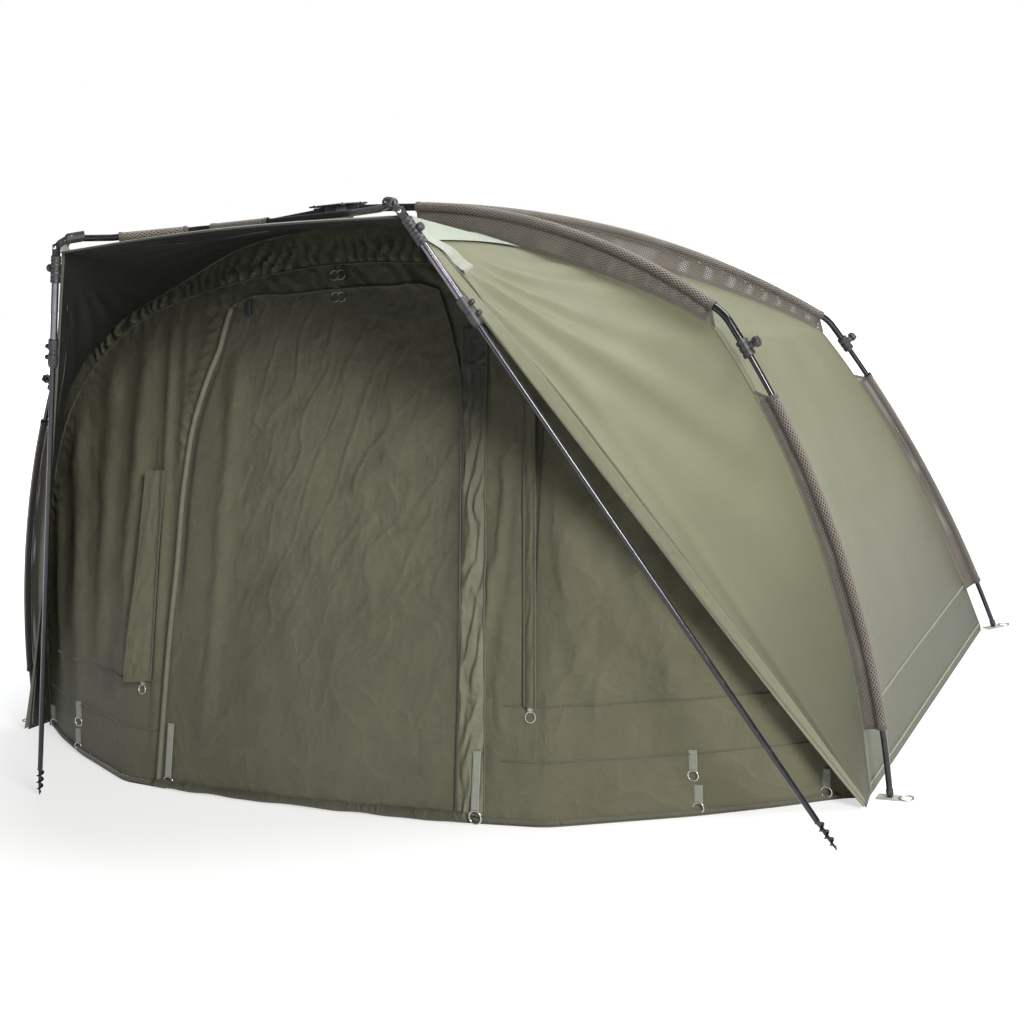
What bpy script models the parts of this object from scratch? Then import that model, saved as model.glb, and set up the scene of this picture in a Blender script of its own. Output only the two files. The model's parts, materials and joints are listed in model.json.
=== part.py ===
"""A four-rib bivvy tent with a peaked brow, built in metres with +Z up.

The tent faces -Y. It is laid out from the line between the front feet, with the hub's axis at
x = 0, y = 0, and moved at the end so that its box stands centred on the origin.
"""
import math

import bmesh
import bpy
import numpy as np
from mathutils import Matrix, Vector

# Overall sizes
FRONT_FOOT_X = 1.32
REAR_FOOT_X = 1.24
REAR_FOOT_Y = 1.48
PIN_HEIGHT = 1.428
BROW_REACH = 0.47
BROW_HALF = 0.485
BROW_HEIGHT = 1.388
BROW_CROWN = 0.014

# Running gaps
TOUCH = 0.0003
RUN = 0.0005
SEAM_GAP = 0.001
SLEEVE_SLACK = 0.002

# Tubes
TUBE_R = 0.009
TUBE_WALL = 0.0015
LEG_R = TUBE_R - TUBE_WALL - 0.0004
TUBE_SIDES = 10
FRONT_ARC_R = 1.466
REAR_ARC_R = 2.57
FRONT_STRAIGHT = 0.15
REAR_STRAIGHT = 0.02
ELBOW_R = 0.12
SOCKET = 0.078
LEG_HIDDEN = 0.040
FINE_STEP = 0.016
FINE_RUN = 0.13
LEG_STEP = 0.12
ARC_STEPS = 9
ELBOW_STEPS = 4
FRONT_SLOPES = (4.0, 37.0, 60.0)
REAR_SLOPES = (2.0, 33.0, 54.0)
FOOT_END_SHARE = 0.8
FOOT_ROUNDS = 12

# Hub
PIN_CIRCLE = 0.055
PIN_R = 0.003
TUBE_PAST_PIN = 0.006
LUG_WALL = 0.004
LUG_REACH = 0.012
LUG_HALF_HEIGHT = 0.011
HUB_R = 0.035
HUB_SIDES = 16
FLANGE_R = 0.062
FLANGE_THICK = 0.004
CAP_THICK = 0.004
CAP_HALF_X = 0.078
CAP_HALF_Y = 0.062
CAP_CORNER = 0.02

# Cloth
CLOTH = 0.0015
CLOTH_AIM_Y = 0.6
WEB_DEPTH = 0.07
WEB_THICK = 0.0016
WEB_GAP = 0.0004
WEB_PLACE_SHARES = (0.0, 0.12, 0.25, 0.38, 0.5, 0.62, 0.8, 1.0)
WEB_DEPTH_SHARES = (0.51, 0.62, 1.0, 0.86, 0.56, 0.5, 0.59, 0.66)
SIDE_SAG = 0.02
REAR_SAG = 0.03
WING_SAG = 0.012
ROOF_SAG = 0.01
PANEL_COLUMNS = 7
WING_COLUMNS = 6
ROOF_ROWS = 5
WING_FOOT_REACH = 0.07
WING_FOOT_OUT = 0.012

# Front wall and door
WALL_BASE_Y = 0.39
WALL_BASE_SHARES = ((0.506, 0.949), (0.746, 0.564), (0.883, 0.295), (0.963, 0.108))
WALL_END_Y = 0.016
WALL_END_GAP = 0.028
WALL_TOP_Y = 0.0
WALL_UNDER_SEAM = 0.0022
DOOR_HALF = 0.45
DOOR_TOP_SHARE = 0.9
DOOR_BULGE = 0.016
GATHER_DEEP = 0.006
GATHER_PITCH = 0.1125
PLEAT_DEEP = 0.0035
PLEAT_PITCH = 0.045
PLEAT_BAND = 0.09
DOOR_COLUMNS = 24
DOOR_ROWS = 5
PLEAT_COLUMNS = 6
FACET_SHARES = (0.064, 0.127, 0.227, 0.340, 0.453, 0.552, 0.680, 0.793, 0.878, 0.935, 0.977)
WALL_ROW_SHARES = (0.0, 0.15, 0.35, 0.55, 0.75, 0.9, 0.95, 1.0)

# Pole sleeves
SLEEVE_WALL = 0.0012
SLEEVE_SIDES = 8
UPPER_SLEEVE_FROM = 0.18
UPPER_SLEEVE_END_GAP = 0.03
LOWER_SLEEVE_AFTER_SOCKET = 0.062
LOWER_SLEEVE_FOOT_GAP = 0.165
UPPER_SLEEVE_STEPS = 8
LOWER_SLEEVE_STEPS = 5
BROW_SLEEVE_STEPS = 4

# Clamps at the elbows
CLAMP_LENGTH = 0.042
CLAMP_PAST_SOCKET = 0.010
CLAMP_R = 0.0145
BOSS_R = 0.009
BOSS_HEIGHT = 0.009
KNOB_R = 0.0135
KNOB_HEIGHT = 0.013
KNOB_LOBES = 5
KNOB_LOBE_DEEP = 0.0018

# Brow bar and its end brackets
BAR_R = 0.008
BAR_MID_Y = 0.262
BAR_MID_HALF = 0.21
BAR_MID_OVER_ROOF = 0.0355
BAR_BEND_R = 0.10
BAR_RISE_X = 0.385
BAR_RISE_Y = 0.405
BAR_RISE_OVER_ROOF = 0.0425
BAR_STEPS = 4
BROW_SLEEVE_SPAN_SHARES = ((-0.494, -0.078), (-0.961, -0.649))
PIVOT_X = 0.49
PIVOT_Y = 0.488
PIVOT_OVER_BROW = 0.012
BAR_END_BACK = 0.017
BAR_END_IN = 0.03
BAR_END_UP = 0.018
BRACKET_GRIP = 0.036
BRACKET_R = 0.0125
BRACKET_CAP = 0.009
BRACKET_KNEE = 0.016
BRACKET_LUG_R = 0.0095
BRACKET_LUG_THICK = 0.005

# Storm poles
RIGHT_TIP_X = 1.295
RIGHT_TIP_Y = 0.321
LEFT_TIP_X = 0.799
LEFT_TIP_Y = 0.512
POLE_R = 0.0085
POLE_INNER_R = 0.0066
POLE_BORE_R = 0.0070
POLE_TUBE_FROM = 0.028
POLE_TUBE_TO = 0.275
GRIP_FROM = 0.020
GRIP_TO = 0.085
GRIP_R = 0.0122
GRIP_LAP = 0.002
GRIP_RIDGES = 3
GRIP_RIDGE_DEEP = 0.0009
FORK_CHEEK = 0.0035
FORK_WIDE = 0.014
FORK_PAST = 0.007
LOCK_FROM = 0.222
LOCK_TO = 0.292
LOCK_R = 0.0125
LOCK_KNOB_R = 0.006
LOCK_KNOB_HEIGHT = 0.010
LOCK_KNOB_SHARES = (0.3, 0.68)
INNER_TOP_RIGHT = 0.232
AUGER_LENGTH = 0.075
AUGER_R = 0.0105
AUGER_CORE_R = 0.0045
AUGER_TURNS = 4.0
AUGER_STEPS = 26
AUGER_SIDES = 8
SCREW_R = 0.0095
SCREW_HEIGHT = 0.011
SCREW_ALONG = 0.032

# Zips
ZIP_X = 0.582
ZIP_HEIGHT = 0.262
SLIDER_WIDE = 0.011
SLIDER_TALL = 0.022
SLIDER_THICK = 0.006
SLIDER_CLEAR = 0.0006
RING_R = 0.0125
RING_WIRE = 0.0013
SLIDER_EYE_R = 0.0018
SLIDER_EYE_OUT = 0.0034
SLIDER_EYE_THICK = 0.002

# Foot straps and door tabs
STRAP_THICK = 0.002
STRAP_WIDE = 0.034
STRAP_BACK = 0.03
STRAP_OUT = 0.028
PEG_RING_R = 0.016
PEG_WIRE = 0.002
TAB_WIDE = 0.02
TAB_THICK = 0.002
TAB_CLEAR = 0.0012
TAB_X = 0.462
TAB_TOP = 0.165
TAB_FOOT = 0.03
TAB_STEPS = 4
RING_STEPS = 16
WIRE_STEPS = 6

COLOURS = {
    "side_cloth": ((0.31, 0.32, 0.245), 0.75, 0.0),
    "front_cloth": ((0.135, 0.135, 0.095), 0.8, 0.0),
    "mesh_sleeve": ((0.17, 0.13, 0.105), 0.85, 0.0),
    "black_tube": ((0.018, 0.018, 0.022), 0.3, 0.6),
    "black_plastic": ((0.03, 0.03, 0.032), 0.5, 0.0),
    "webbing": ((0.30, 0.31, 0.26), 0.85, 0.0),
    "steel": ((0.62, 0.62, 0.60), 0.25, 1.0),
}


def remove_everything():
    for item in list(bpy.data.objects):
        bpy.data.objects.remove(item, do_unlink=True)


def material(slot):
    """One Principled material for each finish."""
    found = bpy.data.materials.get(slot)
    if found:
        return found
    colour, roughness, metallic = COLOURS[slot]
    made = bpy.data.materials.new(slot)
    made.use_nodes = True
    shader = made.node_tree.nodes["Principled BSDF"]
    shader.inputs["Base Color"].default_value = (*colour, 1.0)
    shader.inputs["Roughness"].default_value = roughness
    shader.inputs["Metallic"].default_value = metallic
    made.diffuse_color = (*colour, 1.0)
    return made


def make_object(name, points, faces, slot, pivot=(0.0, 0.0, 0.0)):
    """A closed mesh, facing out, with its origin at the pivot."""
    mesh = bpy.data.meshes.new(name)
    mesh.from_pydata([tuple(p) for p in points], [], faces)
    work = bmesh.new()
    work.from_mesh(mesh)
    bmesh.ops.recalc_face_normals(work, faces=work.faces)
    work.to_mesh(mesh)
    work.free()
    mesh.transform(Matrix.Translation(-Vector(pivot)))
    mesh.materials.append(material(slot))
    made = bpy.data.objects.new(name, mesh)
    made.location = Vector(pivot)
    bpy.context.scene.collection.objects.link(made)
    return made


def loft(rings, closed=False):
    """Points and faces of a row of rings, joined one to the next and capped at both ends."""
    rings = np.asarray(rings)
    count, sides = rings.shape[:2]
    faces = []
    last = count if closed else count - 1
    for k in range(last):
        for i in range(sides):
            a = k * sides + i
            b = k * sides + (i + 1) % sides
            n = (k + 1) % count
            faces.append((a, b, n * sides + (i + 1) % sides, n * sides + i))
    if not closed:
        faces.append(tuple(range(sides)))
        faces.append(tuple((count - 1) * sides + i for i in range(sides)))
    return rings.reshape(-1, 3), faces


def circle(centre, axis_a, axis_b, radius, sides):
    """Points round a centre, in the plane of two unit axes."""
    turn = np.arange(sides) * 2 * math.pi / sides
    centre, axis_a, axis_b = (np.asarray(v, float) for v in (centre, axis_a, axis_b))
    return centre + radius * (np.outer(np.cos(turn), axis_a) + np.outer(np.sin(turn), axis_b))


def side_axes(axis, hint):
    """Two unit vectors square to an axis, the first as near the hint as it can be."""
    axis = Vector(axis).normalized()
    first = Vector(hint) - axis * axis.dot(Vector(hint))
    first.normalize()
    return first, axis.cross(first)


def turned(profile, start, axis, hint, sides, closed=False):
    """A profile of (along, radius) pairs turned about an axis; closed makes a hollow ring."""
    first, second = side_axes(axis, hint)
    start = np.asarray(start, float)
    axis = np.asarray(Vector(axis).normalized())
    rings = [circle(start + axis * along, first, second, radius, sides) for along, radius in profile]
    return loft(rings, closed)


def join(target, *others, mode="UNION"):
    """Exact Boolean of other objects into the target; the others are removed."""
    for other in others:
        tool = target.modifiers.new("join", "BOOLEAN")
        tool.operation = mode
        tool.solver = "EXACT"
        tool.object = other
        graph = bpy.context.evaluated_depsgraph_get()
        mesh = bpy.data.meshes.new_from_object(target.evaluated_get(graph))
        target.modifiers.remove(tool)
        target.data = mesh
        bpy.data.objects.remove(other, do_unlink=True)
    return target


def box_points(centre, axes, halves):
    """Eight corners of a block on three axes."""
    centre = Vector(centre)
    rings = []
    for k in (-1, 1):
        ring = []
        for i, j in ((-1, -1), (1, -1), (1, 1), (-1, 1)):
            ring.append(centre + axes[0] * halves[0] * i + axes[1] * halves[1] * j + axes[2] * halves[2] * k)
        rings.append(ring)
    return loft(rings)


def torus(centre, axis_a, axis_b, radius, wire, steps=RING_STEPS, sides=WIRE_STEPS):
    """A round ring of wire in the plane of two unit axes."""
    axis_a, axis_b = Vector(axis_a), Vector(axis_b)
    normal = axis_a.cross(axis_b)
    rings = []
    for k in range(steps):
        turn = 2 * math.pi * k / steps
        out = axis_a * math.cos(turn) + axis_b * math.sin(turn)
        rings.append(circle(Vector(centre) + out * radius, out, normal, wire, sides))
    return loft(rings, closed=True)


class Rib:
    """One bent rib in its upright plane: straight root, long arc, elbow, and the bowed leg's arc.

    A place along it is given by the length from the hub pin. The slope is the angle that the
    tube points below the horizontal.
    """

    def __init__(self, name, foot_x, foot_y, straight, arc_r, slopes):
        self.name = name
        self.foot_r = math.hypot(foot_x, foot_y)
        self.out = Vector((foot_x, foot_y, 0.0)).normalized()
        self.across = Vector((-self.out.y, self.out.x, 0.0))
        start, end, leg = (math.radians(v) for v in slopes)
        self.slopes = (start, end, leg)
        self.arc_r = arc_r
        self.straight = straight
        r0, z0 = PIN_CIRCLE + straight * math.cos(start), PIN_HEIGHT - straight * math.sin(start)
        r1, z1 = self.arc(r0, z0, start, arc_r, end)
        r2, z2 = self.arc(r1, z1, end, ELBOW_R, leg)
        self.corners = ((r0, z0), (r1, z1), (r2, z2))
        run, floor = self.foot_r - r2, STRAP_THICK + TOUCH
        lift = floor
        for _ in range(FOOT_ROUNDS):
            chord = math.atan2(z2 - lift, run)
            lift = floor + LEG_R * FOOT_END_SHARE * math.cos(2 * chord - leg)
        self.leg_r = math.hypot(run, z2 - lift) / (2 * math.sin(chord - leg))
        self.foot_slope = 2 * chord - leg
        self.arc_end = straight + arc_r * (end - start)
        self.elbow_length = ELBOW_R * (leg - end)
        self.leg_from = self.arc_end + self.elbow_length
        self.foot_at = self.leg_from + self.leg_r * (self.foot_slope - leg)
        self.elbow_at = self.arc_end + self.elbow_length / 2
        self.socket_at = self.leg_from + SOCKET

    @staticmethod
    def arc(r, z, slope, radius, to_slope):
        return (
            r + radius * (math.sin(to_slope) - math.sin(slope)),
            z - radius * (math.cos(slope) - math.cos(to_slope)),
        )

    def at(self, along):
        """Radius from the hub's axis, height and slope at a length from the pin."""
        start, end, leg = self.slopes
        if along < self.straight:
            return PIN_CIRCLE + along * math.cos(start), PIN_HEIGHT - along * math.sin(start), start
        if along < self.arc_end:
            slope = start + (along - self.straight) / self.arc_r
            return (*self.arc(*self.corners[0], start, self.arc_r, slope), slope)
        if along < self.leg_from:
            slope = end + (along - self.arc_end) / ELBOW_R
            return (*self.arc(*self.corners[1], end, ELBOW_R, slope), slope)
        slope = leg + (along - self.leg_from) / self.leg_r
        return (*self.arc(*self.corners[2], leg, self.leg_r, slope), slope)

    def place(self, r, z, across=0.0):
        return self.out * r + self.across * across + Vector((0.0, 0.0, z))

    def frame(self, along):
        """Centre, direction along the tube and outward normal at a length from the pin."""
        r, z, slope = self.at(along)
        centre = self.place(r, z)
        tangent = self.out * math.cos(slope) - Vector((0, 0, math.sin(slope)))
        normal = self.out * math.sin(slope) + Vector((0, 0, math.cos(slope)))
        return centre, tangent, normal

    def pin(self):
        return self.place(PIN_CIRCLE, PIN_HEIGHT)

    def leg_centre(self):
        """Middle of the leg's arc, about which the leg slides in its socket."""
        r, z = self.corners[2]
        leg = self.slopes[2]
        return self.place(r - self.leg_r * math.sin(leg), z - self.leg_r * math.cos(leg))

    def ring(self, along, radius):
        centre, tangent, normal = self.frame(along)
        return circle(centre, normal, self.across, radius, TUBE_SIDES)

    def web(self, along):
        """Depth of the sleeve's web below the tube's middle."""
        if along < self.elbow_at:
            share = 0.5 * max(along, 0.0) / self.elbow_at
        else:
            share = 0.5 + 0.5 * (along - self.elbow_at) / (self.foot_at - self.elbow_at)
        return WEB_DEPTH * float(np.interp(share, WEB_PLACE_SHARES, WEB_DEPTH_SHARES))

    def seam_at(self, along, deeper=0.0):
        r, z, slope = self.at(along)
        depth = self.web(along) + deeper
        return r - depth * math.sin(slope), z - depth * math.cos(slope)

    def rows(self):
        """Lengths from the pin of the cloth's rows, which the sleeves' ends and steps share."""
        upper_end = self.arc_end - UPPER_SLEEVE_END_GAP
        start = self.socket_at + LOWER_SLEEVE_AFTER_SOCKET
        end = self.foot_at - LOWER_SLEEVE_FOOT_GAP
        upper = np.linspace(UPPER_SLEEVE_FROM, upper_end, UPPER_SLEEVE_STEPS + 1)
        lower = np.linspace(start, end, LOWER_SLEEVE_STEPS + 1)
        hub_end = HUB_SEAM_R - PIN_CIRCLE
        return [hub_end, *upper, self.elbow_at, (self.elbow_at + start) / 2, *lower, self.foot_at]

    def seam(self, deeper=0.0):
        """Radius and height of the cloth seam at each row, the last one on the ground."""
        line = [self.seam_at(along, deeper) for along in self.rows()]
        (r1, z1), (r2, z2) = line[-2:]
        line[-1] = (r2 + (r2 - r1) * z2 / (z1 - z2), 0.0)
        return np.array(line)


HUB_SEAM_R = HUB_R * 1.15
RIBS = {
    "front_right": Rib("front_right", FRONT_FOOT_X, 0.0, FRONT_STRAIGHT, FRONT_ARC_R, FRONT_SLOPES),
    "front_left": Rib("front_left", -FRONT_FOOT_X, 0.0, FRONT_STRAIGHT, FRONT_ARC_R, FRONT_SLOPES),
    "rear_right": Rib("rear_right", REAR_FOOT_X, REAR_FOOT_Y, REAR_STRAIGHT, REAR_ARC_R, REAR_SLOPES),
    "rear_left": Rib("rear_left", -REAR_FOOT_X, REAR_FOOT_Y, REAR_STRAIGHT, REAR_ARC_R, REAR_SLOPES),
}


def upper_tube(rib):
    """Bent upper tube, solid at the hub and bored for the leg below the elbow."""
    places = [-TUBE_PAST_PIN]
    places += list(np.linspace(rib.straight, rib.arc_end, ARC_STEPS + 1))
    places += list(np.linspace(rib.arc_end, rib.leg_from, ELBOW_STEPS + 1)[1:])
    socket = list(np.linspace(rib.leg_from, rib.socket_at, max(2, round(SOCKET / FINE_STEP)) + 1))
    rings = [rib.ring(v, TUBE_R) for v in places + socket[1:]]
    rings += [rib.ring(v, TUBE_R - TUBE_WALL) for v in reversed(socket)]
    points, faces = loft(rings)
    tube = make_object("upper_tube_" + rib.name, points, faces, "black_tube")
    reach = rib.across * (TUBE_R * 2)
    start = rib.pin() - reach
    profile = ((0.0, PIN_R + RUN), (TUBE_R * 4, PIN_R + RUN))
    points, faces = turned(profile, start, rib.across, (0, 0, 1), TUBE_SIDES)
    return join(tube, make_object("pin_hole", points, faces, "steel"), mode="DIFFERENCE")


def leg_tube(rib):
    """Bowed leg that slides in the socket, with a rounded plug at its foot."""
    start = rib.socket_at - LEG_HIDDEN
    fine = np.linspace(start, start + FINE_RUN, round(FINE_RUN / FINE_STEP) + 1)
    coarse_run = rib.foot_at - TUBE_R - fine[-1]
    coarse = np.linspace(fine[-1], rib.foot_at - TUBE_R, max(2, round(coarse_run / LEG_STEP)) + 1)
    rings = [rib.ring(v, LEG_R) for v in list(fine) + list(coarse[1:])]
    rings.append(rib.ring(rib.foot_at, LEG_R * FOOT_END_SHARE))
    points, faces = loft(rings)
    return make_object("leg_tube_" + rib.name, points, faces, "black_tube", rib.leg_centre())


def web_sleeve(name, frames, tube_r, webs, slot="mesh_sleeve"):
    """Cloth tunnel round a tube, with a flat web down to the canopy.

    frames gives the centre, the outward normal and the across direction at each station, and
    webs the depth of the web's free edge there.
    """
    inner_r = tube_r + SLEEVE_SLACK
    outer_r = inner_r + SLEEVE_WALL
    lean = math.asin(WEB_THICK / 2 / outer_r)
    turns = -math.pi / 2 + lean + (2 * math.pi - 2 * lean) * np.arange(SLEEVE_SIDES + 1) / SLEEVE_SIDES
    ring_out = len(turns) + 2
    ring_in = len(turns)
    points = []
    for (centre, up, across), web in zip(frames, webs):
        centre, up, across = (np.asarray(v, float) for v in (centre, up, across))
        wave = np.outer(np.cos(turns), across) + np.outer(np.sin(turns), up)
        points += list(centre + outer_r * wave)
        points.append(centre - across * WEB_THICK / 2 - up * web)
        points.append(centre + across * WEB_THICK / 2 - up * web)
        points += list(centre + inner_r * wave)
    stride = ring_out + ring_in
    faces = []
    for k in range(len(frames) - 1):
        a, b = k * stride, (k + 1) * stride
        for i in range(ring_out):
            j = (i + 1) % ring_out
            faces.append((a + i, a + j, b + j, b + i))
        a, b = a + ring_out, b + ring_out
        for i in range(ring_in):
            j = (i + 1) % ring_in
            faces.append((a + i, b + i, b + j, a + j))
    for k in (0, len(frames) - 1):
        a = k * stride
        b = a + ring_out
        for i in range(ring_in - 1):
            faces.append((a + i, a + i + 1, b + i + 1, b + i))
        end = ring_in - 1
        faces.append((a + end, a + end + 1, a + end + 2, a, b, b + end))
    return make_object(name, points, faces, slot)


def rib_sleeve(name, rib, rows):
    frames, webs = [], []
    for along in rows:
        centre, tangent, normal = rib.frame(along)
        frames.append((centre, normal, rib.across))
        webs.append(rib.web(along) - WEB_GAP)
    return web_sleeve(name, frames, TUBE_R, webs)


def rib_sleeves(rib):
    rows = rib.rows()
    rib_sleeve("upper_sleeve_" + rib.name, rib, rows[1:UPPER_SLEEVE_STEPS + 2])
    rib_sleeve("lower_sleeve_" + rib.name, rib, rows[-LOWER_SLEEVE_STEPS - 2:-1])


def lobed_knob(name, base, axis, hint, pivot):
    """A thumb knob with soft lobes, on a short stud."""
    first, second = side_axes(axis, hint)
    axis = Vector(axis).normalized()
    sides = KNOB_LOBES * 4
    turn = np.arange(sides) * 2 * math.pi / sides
    lobes = KNOB_R - KNOB_LOBE_DEEP * (1 - np.cos(turn * KNOB_LOBES)) / 2
    rings = []
    for along, share in ((0.0, 0.82), (0.2, 1.0), (0.85, 1.0), (1.0, 0.8)):
        centre = np.asarray(Vector(base) + axis * KNOB_HEIGHT * along)
        spokes = np.outer(np.cos(turn), first) + np.outer(np.sin(turn), second)
        rings.append(centre + spokes * (lobes * share)[:, None])
    points, faces = loft(rings)
    return make_object(name, points, faces, "black_plastic", pivot)


def elbow_clamp(rib):
    """Moulded collar over the socket's end, with a boss for the knob on its outer side."""
    end = rib.socket_at + CLAMP_PAST_SOCKET
    start = end - CLAMP_LENGTH
    centre, tangent, normal = rib.frame((start + end) / 2)
    origin = centre - tangent * CLAMP_LENGTH / 2
    step = CLAMP_LENGTH - CLAMP_PAST_SOCKET + RUN * 2
    bore = TUBE_R + RUN
    neck = LEG_R + RUN * 2
    bevel = CLAMP_R * 0.12
    profile = (
        (0.0, bore), (0.0, CLAMP_R - bevel), (bevel, CLAMP_R), (CLAMP_LENGTH - bevel, CLAMP_R),
        (CLAMP_LENGTH, CLAMP_R - bevel * 2), (CLAMP_LENGTH, neck), (step, neck), (step, bore),
    )
    points, faces = turned(profile, origin, tangent, normal, TUBE_SIDES, closed=True)
    collar = make_object("clamp_" + rib.name, points, faces, "black_plastic")
    top = CLAMP_R + BOSS_HEIGHT
    low = (bore + CLAMP_R) / 2
    points, faces = turned(((low, BOSS_R), (top, BOSS_R)), centre, normal, tangent, TUBE_SIDES)
    join(collar, make_object("boss", points, faces, "black_plastic"))
    base = centre + normal * (top + TOUCH)
    lobed_knob("knob_" + rib.name, base, normal, tangent, base)
    return collar


def foot_strap(rib):
    """Webbing under the foot with its pegging ring, lying flat on the ground."""
    up = Vector((0, 0, 1))
    end = rib.place(rib.foot_r + STRAP_OUT, 0.0)
    reach = (STRAP_BACK + STRAP_OUT) / 2
    middle = rib.place(rib.foot_r + STRAP_OUT - reach, STRAP_THICK / 2)
    points, faces = box_points(middle, (rib.out, rib.across, up), (reach, STRAP_WIDE / 2, STRAP_THICK / 2))
    strap = make_object("foot_strap_" + rib.name, points, faces, "webbing", rib.leg_centre())
    centre = end + rib.out * (PEG_RING_R * 0.55) + up * PEG_WIRE
    points, faces = torus(centre, rib.out, rib.across, PEG_RING_R, PEG_WIRE)
    return join(strap, make_object("ring", points, faces, "steel"))


def hub():
    """Base with a lug pair and pin for each rib, and a cap plate over them."""
    up = Vector((0, 0, 1))
    axes = (Vector((1, 0, 0)), Vector((0, 1, 0)), up)
    bottom = RIBS["front_right"].seam()[0][1] + SEAM_GAP
    top = PIN_HEIGHT + LUG_HALF_HEIGHT
    core = (HUB_R, top - bottom)
    plate = (FLANGE_R, FLANGE_THICK)
    points, faces = turned(((0.0, core[0]), (core[1], core[0])), (0, 0, bottom), up, axes[0], HUB_SIDES)
    base = make_object("hub_base", points, faces, "black_plastic")
    points, faces = turned(((0.0, plate[0]), (plate[1], plate[0])), (0, 0, bottom), up, axes[0], HUB_SIDES)
    join(base, make_object("plate", points, faces, "black_plastic"))
    gap = TUBE_R + RUN
    for rib in RIBS.values():
        inner = HUB_R * 0.4
        outer = PIN_CIRCLE + LUG_REACH
        for side in (-1, 1):
            centre = rib.place((inner + outer) / 2, PIN_HEIGHT, side * (gap + LUG_WALL / 2))
            halves = ((outer - inner) / 2, LUG_WALL / 2, LUG_HALF_HEIGHT * 0.96)
            points, faces = box_points(centre, (rib.out, rib.across, up), halves)
            join(base, make_object("lug", points, faces, "black_plastic"))
        reach = gap + LUG_WALL * 0.75
        start = rib.pin() - rib.across * reach
        profile = ((0.0, PIN_R), (reach * 2, PIN_R))
        points, faces = turned(profile, start, rib.across, up, TUBE_SIDES)
        join(base, make_object("pin", points, faces, "steel"))
    base.data.materials.clear()
    base.data.materials.append(material("black_plastic"))
    outline = []
    for x, y in ((1, 1), (-1, 1), (-1, -1), (1, -1)):
        corner_x, corner_y = x * (CAP_HALF_X - CAP_CORNER), y * (CAP_HALF_Y - CAP_CORNER)
        start = math.atan2(y, x) - math.pi / 4
        for k in range(4):
            turn = start + math.pi / 2 * k / 3
            outline.append((corner_x + CAP_CORNER * math.cos(turn), corner_y + CAP_CORNER * math.sin(turn)))
    low = top + TOUCH
    rings = [[(x, y, low + z) for x, y in outline] for z in (0.0, CAP_THICK)]
    points, faces = loft(rings)
    make_object("hub_cap", points, faces, "black_plastic")


def inward(points):
    """Unit directions from points of the canopy towards the middle of the floor."""
    aim = np.array([0.0, CLOTH_AIM_Y, 0.0]) - points
    return aim / np.linalg.norm(aim, axis=-1, keepdims=True)


def cloth_solid(name, grid, slot, cells=None):
    """A sheet with thickness: the grid is its outer face, and cells marks which parts exist."""
    rows, columns = grid.shape[:2]
    if cells is None:
        cells = np.ones((rows - 1, columns - 1), bool)
    both = np.concatenate([grid.reshape(-1, 3), (grid + CLOTH * inward(grid)).reshape(-1, 3)])
    half = rows * columns
    faces = []
    edges = {}
    for i in range(rows - 1):
        for j in range(columns - 1):
            if not cells[i, j]:
                continue
            ring = (i * columns + j, i * columns + j + 1, (i + 1) * columns + j + 1, (i + 1) * columns + j)
            # both faces are split along the same diagonal, so that they keep their distance
            lean = 0 if j * 2 < columns - 1 else 1
            a, b, c, d = ring[lean:] + ring[:lean]
            for triangle in ((a, b, c), (a, c, d)):
                faces.append(triangle)
                faces.append(tuple(v + half for v in reversed(triangle)))
            for a, b in zip(ring, ring[1:] + ring[:1]):
                edges[(a, b)] = (b, a)
    for a, b in edges:
        if (b, a) not in edges:
            faces.append((b, a, a + half, b + half))
    used = sorted({v for face in faces for v in face})
    order = {v: k for k, v in enumerate(used)}
    faces = [tuple(order[v] for v in face) for face in faces]
    return make_object(name, both[used], faces, slot)


def seam_line(rib, aside):
    """World points of a rib's seam, moved aside from its plane by half the seam's gap."""
    shift = rib.across * aside * SEAM_GAP / 2
    return np.array([rib.place(r, z) + shift for r, z in rib.seam()])


def ruled(first, second, columns, sag):
    """Rows of points from one line to another, drawn in towards the floor between them."""
    share = np.linspace(0, 1, columns + 1)[None, :, None]
    grid = first[:, None, :] * (1 - share) + second[:, None, :] * share
    rows = np.linspace(0, 1, len(first))[:, None, None]
    return grid + inward(grid) * sag * np.sin(math.pi * share) * np.sin(math.pi * rows)


def side_panels():
    for side, turn in (("right", 1), ("left", -1)):
        front = seam_line(RIBS["front_" + side], turn)
        rear = seam_line(RIBS["rear_" + side], -turn)
        cloth_solid("side_panel_" + side, ruled(front, rear, PANEL_COLUMNS, SIDE_SAG), "side_cloth")
    right = seam_line(RIBS["rear_right"], 1)
    left = seam_line(RIBS["rear_left"], -1)
    cloth_solid("rear_panel", ruled(right, left, PANEL_COLUMNS + 2, REAR_SAG), "side_cloth")


def front_seam(deeper=0.0):
    return RIBS["front_right"].seam(deeper)


def seam_height(x, deeper=0.0):
    """Height of the front rib's seam at a distance from the middle."""
    line = front_seam(deeper)
    return np.interp(np.abs(x), line[:, 0], line[:, 1])


def roof_split():
    """The seam's row where the roof ends and a wing begins, the nearest to the brow's corner."""
    return int(np.argmin(np.abs(front_seam()[:, 0] - BROW_HALF)))


def brow_edge(share):
    """Front edge of the roof: share -1 at the left bracket, 1 at the right one."""
    share = np.asarray(share, float)
    crown = BROW_CROWN * np.cos(share * math.pi / 2)
    return np.stack([share * BROW_HALF, np.full_like(share, -BROW_REACH), BROW_HEIGHT + crown], -1)


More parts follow.
